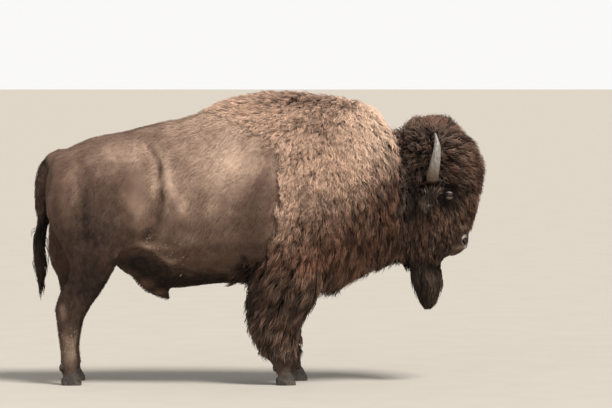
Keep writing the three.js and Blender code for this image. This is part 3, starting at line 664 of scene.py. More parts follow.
def shape_nostrils(piece):
    """Sinks a comma-shaped nostril into each side of the muzzle, with a raised rim."""
    places = corners_of(piece)
    for side in (LEFT, RIGHT):
        out = np.array(mirrored(NOSTRIL_OUT, side))
        along = np.array(mirrored(NOSTRIL_ALONG, side))
        along = unit(along - out * (along @ out))
        across = np.cross(out, along)
        u, v, w = measured(places, NOSTRIL, side, along, across, out)
        opening = np.hypot(u / NOSTRIL_OPENING[0], (v - 12 * u**2) / NOSTRIL_OPENING[1])
        near = (np.abs(w) < 0.035) & (opening < 4)
        sink = -NOSTRIL_DEPTH * rise(opening, 1.15, 0.45) + 0.005 * ridge(opening - 1.45, 0.35)
        places += np.outer(np.where(near, sink, 0), out)
    set_corners(piece, places)


def make_plugs():
    """Balls that close the seats of the horns, ears and eyes in the flesh."""
    seats = (
        ((1.046, 0.160, 1.240), (0.050, 0.055, 0.050)),  # root of the horn
        ((1.054, 0.165, 1.177), (0.038, 0.036, 0.030)),  # root of the ear
        (EYE - 0.012 * EYE_OUT, (0.030, 0.026, 0.028)),
    )
    return [ball(mirrored(place, side), radii) for side in (LEFT, RIGHT) for place, radii in seats]


def fineness(places):
    """1 where the skin keeps its small shapes: on the legs, the tail and the muzzle."""
    x, z = places[:, 0], places[:, 2]
    limb = np.maximum(rise(z, 0.62, 0.50), rise(x, -1.28, -1.30))
    return np.maximum(limb, rise(x, 1.18, 1.24) * rise(z, 1.0, 0.94))


def make_ear_skin(name):
    """The skin of one ear, a hair's depth inside its flesh."""
    ear = remeshed(name + "_skin", [name], EAR_VOXEL)
    smooth_corners(ear, 0.5, 4)
    lay_inside(ear, np.full(len(ear.data.vertices), 0.004 + GROWN))
    return ear


def make_skin():
    """The skin, and the outline that the tips of the coat keep to, which is the skin before it is sunk."""
    skin = remeshed("skin", FLESH + CLAWS, VOXEL, make_plugs())
    largest_island(skin)
    fine = fineness(corners_of(skin))
    smooth_corners(skin, 0.62 - 0.25 * fine, 14)
    smooth_corners(skin, 0.6 * (1 - fine), 22)
    outline = tree_of(skin)
    lay_inside(skin, zone_shares(corners_of(skin)) @ ZONE_TABLE[:, DEPTH] + GROWN)
    smooth_corners(skin, 0.5 * (1 - 0.6 * fine), 5)
    refine(skin, [*both_sides(EYE, 0.085), ((1.25, 0, 0.86), (0.09, 0.16, 0.11))])
    refine(skin, both_sides(EYE, 0.055) + both_sides(NOSTRIL, 0.055))
    smooth_corners(skin, 0.4, 2)
    press_forms(skin)
    shape_lids(skin)
    shape_nostrils(skin)
    skin = join([skin, *(make_ear_skin(name) for name in EARS)])
    make_active(skin)
    bpy.ops.object.shade_smooth()
    return skin, outline


def unwrap(piece, name):
    """Lays the piece's faces out on a map, which also places the tufts on theirs."""
    make_active(piece)
    piece.data.uv_layers.new(name=name)
    edit_all(bpy.ops.uv.smart_project, angle_limit=math.radians(66), island_margin=0.002)


skin, outline = make_skin()
unwrap(skin, "OFBake")


def bare_skin(places):
    """1 on the naked skin of the nose, lips and eyelids, 0 on hair."""
    x, z = places[:, 0], places[:, 2]
    nose = rise(x + 0.25 * (z - 0.86), 1.232, 1.252) * rise(z, 0.925, 0.905) * rise(z, 0.80, 0.815)
    lids = np.zeros(len(places))
    for side in (LEFT, RIGHT):
        out, along, up = eye_frame(side)
        u, v, w = measured(places, EYE, side, along, up, out)
        lids = np.maximum(lids, rise(np.hypot(u / 0.040, v / 0.030), 1.25, 0.85) * rise(w, -0.02, 0.0))
    return np.maximum(nose, lids)


def pale_skin_and_lid_highlight(places):
    """1 on the pale bare skin of the lower lids, round the nostrils and along the lips, and on a painted
    highlight along each upper lid.
    """
    pale = np.zeros(len(places))
    for side in (LEFT, RIGHT):
        out, along, up = eye_frame(side)
        u, v, w = measured(places, EYE, side, along, up, out)
        lower = 0.8 * ridge(v + 0.018 - 8 * u**2, 0.0050) * rise(np.abs(u - 0.003), 0.026, 0.010)
        # A painted highlight along the upper lid, in the same pale colour as the bare skin.
        upper = 0.9 * ridge(v - 0.0175 + 8 * u**2, 0.0035) * rise(np.abs(u), 0.026, 0.010)
        pale = np.maximum(pale, (lower + upper) * rise(w, -0.02, 0.0))
        gap = np.linalg.norm((places - np.array(mirrored(NOSTRIL, side))) / [0.030, 0.030, 0.036], axis=1)
        pale = np.maximum(pale, ridge(gap - 1.10, 0.24) * rise(places[:, 0], 1.275, 1.255))
    lip_gap, _ = line_distance(one_side(places), LIP_LINE)
    return np.maximum(pale, 0.8 * ridge(lip_gap, 0.008))


skin_places = corners_of(skin)
skin_shares = zone_shares(skin_places)
add_values(skin, "tones", "FLOAT_COLOR", tones_at(skin_places, skin_shares))
add_values(skin, "bare", "FLOAT", bare_skin(skin_places))
add_values(skin, "pale", "FLOAT", pale_skin_and_lid_highlight(skin_places))
# How deep the coat is, which the skin's material turns into painted shade under the coat.
add_values(skin, "under", "FLOAT", rise(skin_shares @ ZONE_TABLE[:, DEPTH], 0.010, 0.035))


# ---------------------------------------------------------------- tufts

def skin_triangles(piece):
    """The skin's triangles: corner places, corner normals and places on its own unwrap."""
    mesh = piece.data
    mesh.calc_loop_triangles()
    corners = read(mesh.loop_triangles, "vertices", 3, np.int32)
    loops = read(mesh.loop_triangles, "loops", 3, np.int32)
    spots = read(mesh.uv_layers["OFBake"].data, "uv", 2)
    return corners_of(piece)[corners], normals_of(piece)[corners], spots[loops]


def hairless(places):
    """0 where no tuft may stand: on the nose, in the eye, under the horn and on the hooves."""
    clear = 1 - rise(bare_skin(places), 0.35, 0.55)
    for side in (LEFT, RIGHT):
        gap, _ = line_distance(places, [mirrored(point, side) for point in HORN_LINE])
        clear *= rise(gap, 0.040, 0.044)
    return clear * rise(places[:, 2], 0.070, 0.078)


def shorter(places, zones):
    """How much of its length the hair keeps close to the eyes and, off the ears, close to them."""
    eye_gap = np.linalg.norm(one_side(places) - np.array(EYE), axis=1)
    ear_gap, _ = line_distance(one_side(places), EAR_LINE[1:])
    by_ear = np.where(zones == ZONE_NAMES.index("ear"), 1, 0.25 + 0.75 * rise(ear_gap, 0.055, 0.125))
    return (0.18 + 0.82 * rise(eye_gap, 0.045, 0.115)) * by_ear


def comb_collar(roots):
    """Combs the hair round the root of each horn, and the upper fringe of each ear, over the root."""
    places = one_side(roots["place"])
    gap, _ = line_distance(places, HORN_LINE[:2])
    on_ear = roots["zone"] == ZONE_NAMES.index("ear")
    collar = np.where(on_ear, 0, rise(gap, 0.078, 0.052))
    below = rise(places[:, 2], 1.25, 1.20)  # under the root, where the hair reaches furthest up it
    roots["depth"] += collar * (0.048 + 0.065 * below)
    roots["length"] += collar * (0.036 + 0.090 * below)
    roots["proud"] += collar * (0.060 + 0.045 * below)
    fringe = on_ear * rise(places[:, 2] + 0.4 * (places[:, 1] - 0.2), 1.150, 1.172)
    roots["length"] += fringe * 0.026
    side = np.where(roots["place"][:, 1] < 0, -1.0, 1.0)
    up = np.stack([np.full(len(side), 0.05), 0.35 * side, np.ones(len(side))], 1)
    roots["lie"] = unit(roots["lie"] + up * (1.6 * np.maximum(collar * below, fringe))[:, None])


def add_streaks(roots, random):
    """Pale streaks in the ears, which are painted highlights, and clusters of pale flecks on the flank and
    the hind shins.
    """
    count = len(roots["place"])
    # Painted highlights: a few tufts in each ear made pale.
    streak = (roots["zone"] == ZONE_NAMES.index("ear")) & (random.random(count) < EAR_HIGHLIGHT_STREAKS)
    roots["tones"][streak] = (0.40, 0.20, 0.00, 0.10)
    for place, reach in FLECKS:
        gap = np.linalg.norm(one_side(roots["place"]) - np.array(place), axis=1)
        fleck = random.random(count) < FLECK_SHARE * ridge(gap, reach)
        roots["tones"][fleck, 3] = random.uniform(0.5, 1.0, fleck.sum())
        roots["width"][fleck] *= random.uniform(0.8, 1.8, fleck.sum())
        roots["length"][fleck] *= random.uniform(0.3, 0.8, fleck.sum())
        roots["depth"][fleck] += 0.003


def scatter(seed):
    """Roots for tufts all over the skin, spread evenly by how close the tufts stand in each zone."""
    random = np.random.default_rng(seed)
    corners, normals, spots = skin_triangles(skin)
    middles = corners.mean(1)
    first, second = corners[:, 1] - corners[:, 0], corners[:, 2] - corners[:, 0]
    area = np.linalg.norm(np.cross(first, second), axis=1) / 2
    wanted = area * (zone_shares(middles) @ ZONE_TABLE[:, CLOSENESS]) * hairless(middles)
    total = np.cumsum(wanted)
    count = int(total[-1])
    picked = np.searchsorted(total, (np.arange(count) + random.random(count)) * total[-1] / count)
    picked = np.minimum(picked, len(total) - 1)
    share = random.dirichlet((1, 1, 1), count)
    roots = {
        "place": np.einsum("nk,nkj->nj", share, corners[picked]),
        "normal": unit(np.einsum("nk,nkj->nj", share, normals[picked])),
        "spot": np.einsum("nk,nkj->nj", share, spots[picked]),
    }
    shares = zone_shares(roots["place"])
    roots["tones"] = tones_at(roots["place"], shares)
    chosen = (np.cumsum(shares, 1) > random.random((count, 1)) * shares.sum(1, keepdims=True)).argmax(1)
    roots["zone"] = chosen
    mixed = 0.6 * (shares @ ZONE_TABLE) + 0.4 * ZONE_TABLE[chosen]
    roots.update(depth=shares @ ZONE_TABLE[:, DEPTH], length=mixed[:, LENGTH], width=mixed[:, WIDTH],
                 wave=mixed[:, WAVE], bunch=mixed[:, BUNCH], hang=mixed[:, HANG])
    roots["proud"] = np.array([PROUD.get(zone, 0.005) for zone in ZONE_NAMES])[chosen]
    add_streaks(roots, random)
    kept = shorter(roots["place"], chosen)
    roots["length"] *= kept
    roots["depth"] *= kept
    roots["lie"] = lie_at(roots["place"], roots["normal"])
    comb_collar(roots)
    return roots


def tuft_lines(roots, rings, random):
    """The middle line of each tuft, from its root to its tip."""
    count = len(roots["place"])
    place, normal = roots["place"], roots["normal"]
    turn = 0.35 * swell(place, 0.10, 31) + random.normal(0, 0.16, count)
    side = np.cross(roots["lie"], normal)
    lie = unit(roots["lie"] * np.cos(turn)[:, None] + side * np.sin(turn)[:, None])
    side = np.cross(lie, normal)
    lumps = 1 + 0.16 * swell(place, 0.085, 32)
    length = roots["length"] * random.uniform(0.72, 1.12, count) * lumps
    depth = roots["depth"] * np.clip(random.uniform(0.78, 1.20, count) * lumps, 0.3, 1.3)
    run = np.sqrt(np.maximum(length**2 - depth**2, (0.35 * length) ** 2))
    steps = np.linspace(0, 1, rings + 1)[None, :, None]
    lifted = 1 - (1 - steps) ** 1.7
    down = np.array([0, 0, -1.0]) + normal * normal[:, 2:]
    line = (
        place[:, None]
        + lie[:, None] * run[:, None, None] * steps
        + normal[:, None] * (depth[:, None, None] * lifted)
        + down[:, None] * (roots["hang"] * length)[:, None, None] * steps**2 * 0.5
    )
    phase = random.uniform(0, 2 * math.pi, count)[:, None, None]
    sway = (roots["wave"] * length)[:, None, None] * np.minimum(steps * 2, 1)
    line = line + side[:, None] * sway * np.sin(phase + 7.0 * steps)
    line = line + normal[:, None] * 0.5 * sway * np.cos(phase + 7.0 * steps)
    return line, side


def bunch_up(line, roots, random):
    """Draws neighbouring tufts together into long rounded locks, each round the tuft that leads it.

    Also tells which tuft leads each, where in the lock it stands, and how near the lock's edge.
    """
    place = roots["place"]
    squeezed = place * (1 - 0.6 * np.abs(roots["lie"]).mean(0))
    share = np.interp(roots["length"].mean(), [0.075, 0.09, 0.12], [0.15, 0.085, 0.060])
    leaders = random.permutation(len(place))[: max(1, int(len(place) * share))]
    tree = KDTree(len(leaders))
    for i, leader in enumerate(leaders):
        tree.insert(squeezed[leader], i)
    tree.balance()
    nearest = leaders[[tree.find(spot)[1] for spot in squeezed]]
    aside = place - place[nearest]
    aside -= roots["lie"] * np.sum(aside * roots["lie"], 1, keepdims=True)
    aside /= np.percentile(np.linalg.norm(aside, axis=1), 85) + 1e-6
    edge = np.minimum(np.linalg.norm(aside, axis=1), 1)
    steps = np.linspace(0, 1, line.shape[1])[None, :, None]
    pull = roots["bunch"][:, None, None] * steps**1.3 * random.uniform(0.5, 1.1, len(place))[:, None, None]
    line = line + (line[nearest] - line) * np.clip(pull, 0, 0.95)
    sunk = roots["normal"] * (0.40 * roots["bunch"] * roots["depth"] * edge**2)[:, None]
    return line - sunk[:, None] * steps, nearest, aside, edge


def trim(line, proud):
    """Keeps each tuft inside the outline, but for what it may stand proud, and shortens it where it can't."""
    for i in range(len(line)):
        for k in range(1, line.shape[1]):
            for _ in range(4):
                spot, normal, _, _ = outline.find_nearest(line[i, k])
                out = (Vector(line[i, k]) - spot).dot(normal) - proud[i]
                if out <= 0:
                    break
                if out < 0.03:
                    line[i, k] -= np.array(normal) * out
                    break
                line[i, k] = line[i, k - 1] + 0.6 * (line[i, k] - line[i, k - 1])
    return line


def tuft_corners(line, side, half_width):
    """The corners of each tuft: three round every ring, flattened against the skin, and its tip."""
    count = len(line)
    steps = np.linspace(0, 1, line.shape[1])
    way = unit(np.gradient(line, axis=1))
    side = unit(side[:, None] - way * np.sum(side[:, None] * way, 2, keepdims=True))
    up = np.cross(side, way)
    full = (0.55 + 0.45 * np.minimum(steps / 0.35, 1)) * (1 - steps**2.4)
    half = half_width[:, None] * full[None]
    angles = np.radians([90, 210, 330])
    sides = (
        line[:, :-1, None]
        + side[:, :-1, None] * (half[:, :-1, None] * np.cos(angles))[..., None]
        + up[:, :-1, None] * (half[:, :-1, None] * np.sin(angles) * 0.6)[..., None]
    )
    return np.concatenate([sides.reshape(count, -1, 3), line[:, -1:]], 1)


def tuft_faces(rings):
    """The faces of one closed tuft: its root, its sides and its tip."""
    tip, last = rings * 3, rings * 3 - 3
    quads = [(r * 3 + k, r * 3 + 3 + k, r * 3 + 3 + (k + 1) % 3, r * 3 + (k + 1) % 3)
             for r in range(rings - 1) for k in range(3)]
    return [(0, 1, 2), *quads, *[(last + k, tip, last + (k + 1) % 3) for k in range(3)]]


def repeated_mesh(name, corners, faces):
    """One mesh of many tufts with the same faces, and which corner each of its loops stands on."""
    count, per, _ = corners.shape
    sizes = [len(face) for face in faces]
    loop_corners = (np.arange(count)[:, None] * per + np.concatenate(faces)[None]).ravel()
    mesh = bpy.data.meshes.new(name)
    mesh.vertices.add(count * per)
    mesh.loops.add(len(loop_corners))
    mesh.polygons.add(count * len(faces))
    mesh.vertices.foreach_set("co", corners.astype(np.float32).ravel())
    mesh.loops.foreach_set("vertex_index", loop_corners.astype(np.int32))
    starts = np.concatenate([[0], np.cumsum(np.tile(sizes, count))[:-1]])
    mesh.polygons.foreach_set("loop_start", starts.astype(np.int32))
    mesh.polygons.foreach_set("use_smooth", np.ones(count * len(faces), bool))
    mesh.update(calc_edges=True)
    return mesh, loop_corners


def add_map(mesh, name, spots, loop_corners):
    """A map on which each corner of the mesh has a spot."""
    mesh.uv_layers.new(name=name)
    mesh.uv_layers[name].data.foreach_set("uv", spots[loop_corners].astype(np.float32).ravel())


def build_tufts(name, roots, rings, seed):
    """One closed, tapering, three-sided tuft of hair on each root, all in one mesh."""
    random = np.random.default_rng(seed)
    count = len(roots["place"])
    line, side = tuft_lines(roots, rings, random)
    line, leader, aside, edge = bunch_up(line, roots, random)
    if name != "coat_ears":  # the ears stand outside the outline
        line = trim(line, roots["proud"] * random.uniform(-0.8, 1.0, count))
    half_width = 0.5 * roots["width"] * random.uniform(0.7, 1.25, count)
    corners = tuft_corners(line, side, half_width)
    per = corners.shape[1]
    mesh, loop_corners = repeated_mesh(name, corners, tuft_faces(rings))

    steps = np.linspace(0, 1, rings + 1)
    round_rings = [(k, steps[r]) for r in range(rings) for k in range(3)]
    patch = np.array([((k - 1) * 0.4, step - 0.5) for k, step in round_rings] + [(0, 0.5)]) * TUFT_PATCH
    add_map(mesh, "OFBake", (roots["spot"][:, None] + patch[None]).reshape(-1, 2), loop_corners)
    strand = np.array([(k / 3, step) for k, step in round_rings] + [(0.5, 1.0)])
    strands = np.tile(strand, (count, 1)) + np.repeat(random.uniform(0, 40, count), per)[:, None] * [1, 0]
    add_map(mesh, "Strand", strands, loop_corners)

    piece = bpy.data.objects.new(name, mesh)
    bpy.context.collection.objects.link(piece)
    deep = rise(roots["depth"], 0.004, 0.030)[:, None]
    rounded = np.clip(aside, -1.2, 1.2) * deep * roots["bunch"][:, None]
    smooth = np.repeat(roots["normal"] * (1.1 - 0.5 * deep) + rounded, per, 0)
    mesh.normals_split_custom_set_from_vertices(unit(smooth + 0.8 * normals_of(piece)))
    add_values(piece, "tones", "FLOAT_COLOR", np.repeat(roots["tones"], per, 0))
    along = np.tile([*np.repeat(steps[:-1], 3), 1.0], count)
    deep = np.repeat(deep, per)
    # Tufts near the edge of a lock are darker, a painted shade in the gaps between locks, mixed with a random
    # tone of each tuft.
    own = np.repeat(0.45 * random.random(count) + 0.55 * (1 - edge**1.5), per)
    lock = np.repeat(random.random(count)[leader], per)
    add_values(piece, "tuft", "FLOAT_COLOR", np.stack([along, own, lock, deep], 1))
    return piece


# Which zones make up each piece of the coat, and its material slot. A piece takes what the pieces above it
# have left of its zones, and the right side's pieces and the hindquarters stop at an edge.
COAT = {
    "coat_hindquarters": (["body", "hock", "belly", "back"], "short_coat"),
    "coat_barrel": (["body", "hock", "belly", "back"], "short_coat"),
    "coat_cape_right": (["cape"], "cape"),
    "coat_cape_left": (["cape"], "cape"),
    "coat_mane_right": (["mane"], "mane"),
    "coat_mane_left": (["mane"], "mane"),
    "coat_brisket": (["brisket"], "mane"),
    "coat_chaps_right": (["chaps"], "long_hair"),
    "coat_chaps_left": (["chaps"], "long_hair"),
    "coat_shins": (["shin"], "long_hair"),
    "coat_bonnet": (["bonnet"], "face_hair"),
    "coat_temples": (["temple"], "face_hair"),
    "coat_face": (["face", "bridge"], "face_hair"),
    "coat_ears": (["ear"], "face_hair"),
    "coat_muzzle": (["muzzle"], "face_hair"),
    "coat_beard": (["beard"], "long_hair"),
    "coat_tail": (["dock"], "short_coat"),
    "coat_switch": (["switch"], "long_hair"),
}
HINDQUARTERS_EDGE = -0.62


def make_coat():
    """All the pieces of the coat, from one scatter of roots."""
    roots = scatter(seed=11)
    x, y = roots["place"][:, 0], roots["place"][:, 1]
    coat = []
    used = np.zeros(len(x), bool)
    for seed, (name, (zones, slot)) in enumerate(COAT.items()):
        chosen = np.isin(roots["zone"], [ZONE_NAMES.index(zone) for zone in zones]) & ~used
        if name.endswith("_right"):
            chosen &= y <= 0
        if name == "coat_hindquarters":
            chosen &= x < HINDQUARTERS_EDGE
        used |= chosen
        rings = int(ZONES[zones[0]][RINGS])
        piece = build_tufts(name, {key: values[chosen] for key, values in roots.items()}, rings, 100 + seed)
        coat.append(piece)
    return coat


coat = make_coat()


# ---------------------------------------------------------------- horns, eyes and hooves

def smooth_copy(name, node, levels):
    """A CAD node's copy with its facets rounded off."""
    piece = joined_copy(name, [node])
    flat = math.radians(60)
    edit_all(bpy.ops.mesh.tris_convert_to_quads, face_threshold=flat, shape_threshold=flat)
    finish_modifier(piece, "SUBSURF", levels=levels, render_levels=levels)
    make_active(piece)
    bpy.ops.object.shade_smooth()
    return piece


def make_horn(side_name, side):
    """A horn with the growth rings and long grain of its lower half."""
    horn = smooth_copy(f"horn_{side_name}_visual", f"horn_{side_name}", 3)
    places, normals = corners_of(horn), normals_of(horn)
    _, along = line_distance(places, [mirrored(point, side) for point in HORN_LINE])
    rings = np.sin(along * 90 + 2.5 * swell(places, 0.05, 51)) * rise(along, 0.62, 0.25)
    grain = swell(places * [1, 1, 0.25], 0.012, 52)
    set_corners(horn, places + normals * (0.0010 * rings + 0.0006 * grain)[:, None])
    add_values(horn, "along", "FLOAT", along)
    return horn


def make_eye(side_name, side):
    """An eyeball whose pole looks out, with a slightly bulging cornea."""
    deselect()
    bpy.ops.mesh.primitive_uv_sphere_add(segments=48, ring_count=32, radius=EYE_RADIUS)
    eye = bpy.context.active_object
    eye.name = eye.data.name = f"eye_{side_name}_visual"
    out, along, up = (Vector(way) for way in eye_frame(side))
    turned = Matrix((along, up if along.cross(up).dot(out) > 0 else -up, out)).transposed().to_4x4()
    eye.data.transform(Matrix.Translation(mirrored(EYE, side)) @ turned)
    places = corners_of(eye)
    local = places - np.array(mirrored(EYE, side))
    bulge = rise(local @ np.array(out), EYE_RADIUS * 0.72, EYE_RADIUS)
    set_corners(eye, places + np.outer(bulge * 0.0012, np.array(out)))
    add_values(eye, "iris", "FLOAT", np.arccos(np.clip(unit(local) @ np.array(out), -1, 1)))
    stretch = np.hypot(local @ np.array(along) / 0.0085, local @ np.array(up) / 0.0050)
    add_values(eye, "pupil", "FLOAT", stretch)
    bpy.ops.object.shade_smooth()
    return eye


horns = [make_horn(*item) for item in SIDES.items()]
eyes = [make_eye(*item) for item in SIDES.items()]


def make_claw(name):
    """A claw or dewclaw with rounded edges. Its faint growth lines are in its material."""
    piece = joined_copy(name + "_visual", [name])
    sharp = math.radians(50)
    finish_modifier(piece, "BEVEL", width=0.004, segments=3, limit_method="ANGLE", angle_limit=sharp)
    make_active(piece)
    bpy.ops.object.shade_smooth_by_angle(angle=math.radians(40))
    return piece


claws = [make_claw(name) for name in CLAWS]

# ---------------------------------------------------------------- materials


def node(tree, kind, **settings):
    """A new shader node. Its settings are values of its sockets or, where it has no such socket, its own."""
    made = tree.nodes.new(kind)
    for name, value in settings.items():
        if name in made.inputs:
            made.inputs[name].default_value = value
        else:
            setattr(made, name, value)
    return made


def feed(tree, socket, value):
    """Sets a socket to a constant or links it to another socket."""
    if isinstance(value, bpy.types.NodeSocket):
        tree.links.new(value, socket)
    else:
        socket.default_value = value


def mix(tree, factor, first, second, blend="MIX"):
    """A colour mix. Each of the three may be a socket or a constant."""
    made = node(tree, "ShaderNodeMix", data_type="RGBA", blend_type=blend)
    for i, value in ((0, factor), (6, first), (7, second)):
        feed(tree, made.inputs[i], value)
    return made.outputs[2]


def calc(tree, operation, first, second, clamp=False):
    """A sum on two values, each a socket or a constant."""
    made = node(tree, "ShaderNodeMath", operation=operation, use_clamp=clamp)
    feed(tree, made.inputs[0], first)
    feed(tree, made.inputs[1], second)
    return made.outputs[0]


def times(tree, first, second, clamp=False):
    return calc(tree, "MULTIPLY", first, second, clamp)


def span(tree, value, low, high, to_low=0.0, to_high=1.0):
    """Maps a value's range from low to high onto another, smoothly and no further."""
    made = node(tree, "ShaderNodeMapRange", interpolation_type="SMOOTHSTEP")
    for name, number in (("Value", value), ("From Min", low), ("From Max", high), ("To Min", to_low),
                         ("To Max", to_high)):
        feed(tree, made.inputs[name], number)
    return made.outputs["Result"]


def own_place(tree):
    return node(tree, "ShaderNodeTexCoord").outputs["Object"]


def stored(tree, name):
    """The outputs of an attribute that is stored on the piece."""
    return node(tree, "ShaderNodeAttribute", attribute_name=name).outputs


def channels(tree, colour):
    made = node(tree, "ShaderNodeSeparateColor")
    tree.links.new(colour, made.inputs[0])
    return made.outputs


def stretched(tree, vector, **settings):
    """A place that is turned or stretched, so that a pattern on it runs one way."""
    made = node(tree, "ShaderNodeMapping", **settings)
    tree.links.new(vector, made.inputs[0])
    return made.outputs[0]


def texture(tree, kind, vector, output="Fac", **settings):
    """One output of a procedural texture on a place."""
    made = node(tree, kind, **settings)
    tree.links.new(vector, made.inputs["Vector"])
    return made.outputs[output]


def shaded(tree, colour, shade):
    """A colour made darker or lighter by a factor."""
    grey = node(tree, "ShaderNodeCombineColor")
    for socket in grey.inputs:
        tree.links.new(shade, socket)
    return mix(tree, 1.0, colour, grey.outputs[0], "MULTIPLY")


def roughen(tree, shader, height, strength):
    """Relief of up to a millimetre."""
    bump = node(tree, "ShaderNodeBump", Strength=strength, Distance=0.001)
    tree.links.new(height, bump.inputs["Height"])
    tree.links.new(bump.outputs[0], shader["Normal"])


def new_group(name, inputs, outputs):
    tree = bpy.data.node_groups.new(name, "ShaderNodeTree")
    for socket, kind in inputs.items():
        tree.interface.new_socket(socket, in_out="INPUT", socket_type=kind)
    for socket, kind in outputs.items():
        tree.interface.new_socket(socket, in_out="OUTPUT", socket_type=kind)
    return tree, tree.nodes.new("NodeGroupInput").outputs, tree.nodes.new("NodeGroupOutput").inputs


def new_material(name, **constants):
    """A material, its node tree and the sockets of its shader, with the sockets' constants set."""
    material = bpy.data.materials.new(name)
    material.use_nodes = True
    shader = material.node_tree.nodes["Principled BSDF"]
    for socket, value in constants.items():
        shader.inputs[socket].default_value = value
    return material, material.node_tree, shader.inputs


HAIR = {
    "grey_brown": (0.108, 0.064, 0.045, 1),
    "tan": (0.470, 0.310, 0.222, 1),
    "russet": (0.112, 0.045, 0.025, 1),
    "black": (0.0155, 0.0098, 0.0072, 1),
    "dust": (0.500, 0.355, 0.262, 1),
}


def coat_colour_group():
    """Turns the shares of tan, russet, near-black and dust into the colour of the hair."""
    tree, given, made = new_group(
        "coat colour",
        {"Shares": "NodeSocketColor", "Dust": "NodeSocketFloat", "Variation": "NodeSocketFloat"},
        {"Color": "NodeSocketColor"},
    )
    shares = channels(tree, given["Shares"])
    patches = texture(tree, "ShaderNodeTexNoise", own_place(tree), Scale=26.0, Detail=4.0, Roughness=0.6)
    shift = times(tree, span(tree, patches, 0.3, 0.7, -0.5, 0.5), given["Variation"])
    shift = times(tree, shift, 0.35)
    colour = HAIR["grey_brown"]
    for name, socket in (("tan", 0), ("russet", 1), ("black", 2)):
        share = calc(tree, "ADD", shares[socket], shift, clamp=True)
        share = times(tree, share, span(tree, shares[socket], 0.0, 0.06))
        colour = mix(tree, share, colour, HAIR[name])
    dusty = times(tree, given["Dust"], span(tree, patches, 0.3, 0.7, 0.8, 1.15), clamp=True)
    tree.links.new(mix(tree, dusty, colour, HAIR["dust"]), made["Color"])
    return tree


COAT_COLOUR = coat_colour_group()


def coat_colour(tree, tones, variation):
    """The colour of the hair from the tones that are stored on the piece."""
    group = node(tree, "ShaderNodeGroup", node_tree=COAT_COLOUR)
    tree.links.new(tones["Color"], group.inputs["Shares"])
    tree.links.new(tones["Alpha"], group.inputs["Dust"])
    group.inputs["Variation"].default_value = variation
    return group.outputs["Color"]


def coat_material():
    """Hair with a painted shade at its root and along the edges of its locks, lighter towards the tip, whose
    tone differs from tuft to tuft, from lock to lock and across a tuft.
    """
    material, tree, shader = new_material("bison hair", **{"Specular IOR Level": 0.15})
    tones, tuft = stored(tree, "tones"), stored(tree, "tuft")
    along, own, lock = channels(tree, tuft["Color"])
    strand = node(tree, "ShaderNodeUVMap", uv_map="Strand").outputs[0]
    strand = stretched(tree, strand, Scale=(9.0, 0.7, 1.0))
    hairs = texture(tree, "ShaderNodeTexNoise", strand, Scale=1.0, Detail=2.0)
    short = calc(tree, "SUBTRACT", 1.0, tuft["Alpha"])
    pale = calc(tree, "MAXIMUM", channels(tree, tones["Color"])[0], short)
    tree.links.new(span(tree, pale, 0.0, 1.0, 0.48, 0.72), shader["Roughness"])
    # Painted shade at the root, where the coat's depth shades it, weakest in pale and short hair, rising to
    # lighter tips.
    root = span(tree, pale, 0.0, 1.0, 0.12, 0.52)
    to_tip = times(tree, span(tree, along, 0.0, 0.8), calc(tree, "SUBTRACT", 1.22, root))
    shade = calc(tree, "ADD", root, to_tip)
    # Each tuft's value carries the painted shade at lock edges, while the lock's and the hairs' values are
    # random tone.
    for chance, on_dark, on_pale in ((own, 1.38, 0.84), (lock, 1.34, 0.56), (hairs, 1.38, 0.80)):
        spread = span(tree, pale, 0.0, 1.0, on_dark, on_pale)
        spread = times(tree, spread, calc(tree, "SUBTRACT", chance, 0.5))
        shade = times(tree, shade, calc(tree, "ADD", spread, 1.0))
    tree.links.new(shaded(tree, coat_colour(tree, tones, 0.5), shade), shader["Base Color"])
    roughen(tree, shader, hairs, 0.35)
    return material


def skin_material():
    """Short flat hair with painted shade under the long coat, darkest under dark hair, and naked on the nose
    and lids.
    """
    material, tree, shader = new_material("bison skin", **{"Specular IOR Level": 0.16})
    tones = stored(tree, "tones")
    bare, under, pale = (stored(tree, name)["Fac"] for name in ("bare", "under", "pale"))
    place = own_place(tree)
    comb = stretched(tree, place, Rotation=(0.0, math.radians(-52), 0.0), Scale=(90.0, 520.0, 520.0))
    hairs = texture(tree, "ShaderNodeTexNoise", comb, Scale=1.0, Detail=3.0, Roughness=0.6)
    # Painted shade on the skin under the long coat, stronger under dark hair than under the pale cape.
    coat_shade = span(tree, channels(tree, tones["Color"])[0], 0.0, 1.0, 0.82, 0.44)
    coat_shade = times(tree, under, coat_shade)
    shade = span(tree, hairs, 0.3, 0.7, 0.86, 1.10)
    shade = times(tree, shade, calc(tree, "SUBTRACT", 1.0, coat_shade))
    hair = shaded(tree, coat_colour(tree, tones, 0.8), shade)
    grain = texture(tree, "ShaderNodeTexVoronoi", place, "Distance", Scale=420.0)
    dark = mix(tree, span(tree, grain, 0.0, 0.6), (0.030, 0.024, 0.022, 1), (0.012, 0.010, 0.010, 1))
    # The pale naked colour is both the real pale skin and the painted highlight on the upper lids.
    uneven = times(tree, pale, span(tree, hairs, 0.3, 0.6, 0.6, 1.0))
    naked = mix(tree, uneven, dark, (0.34, 0.26, 0.21, 1))
    tree.links.new(mix(tree, bare, hair, naked), shader["Base Color"])
    tree.links.new(span(tree, bare, 0.0, 1.0, 0.86, 0.52), shader["Roughness"])
    fine = times(tree, hairs, span(tree, bare, 0.0, 1.0, 1.0, 0.0))
    roughen(tree, shader, calc(tree, "SUBTRACT", fine, times(tree, grain, bare)), 0.5)
    return material


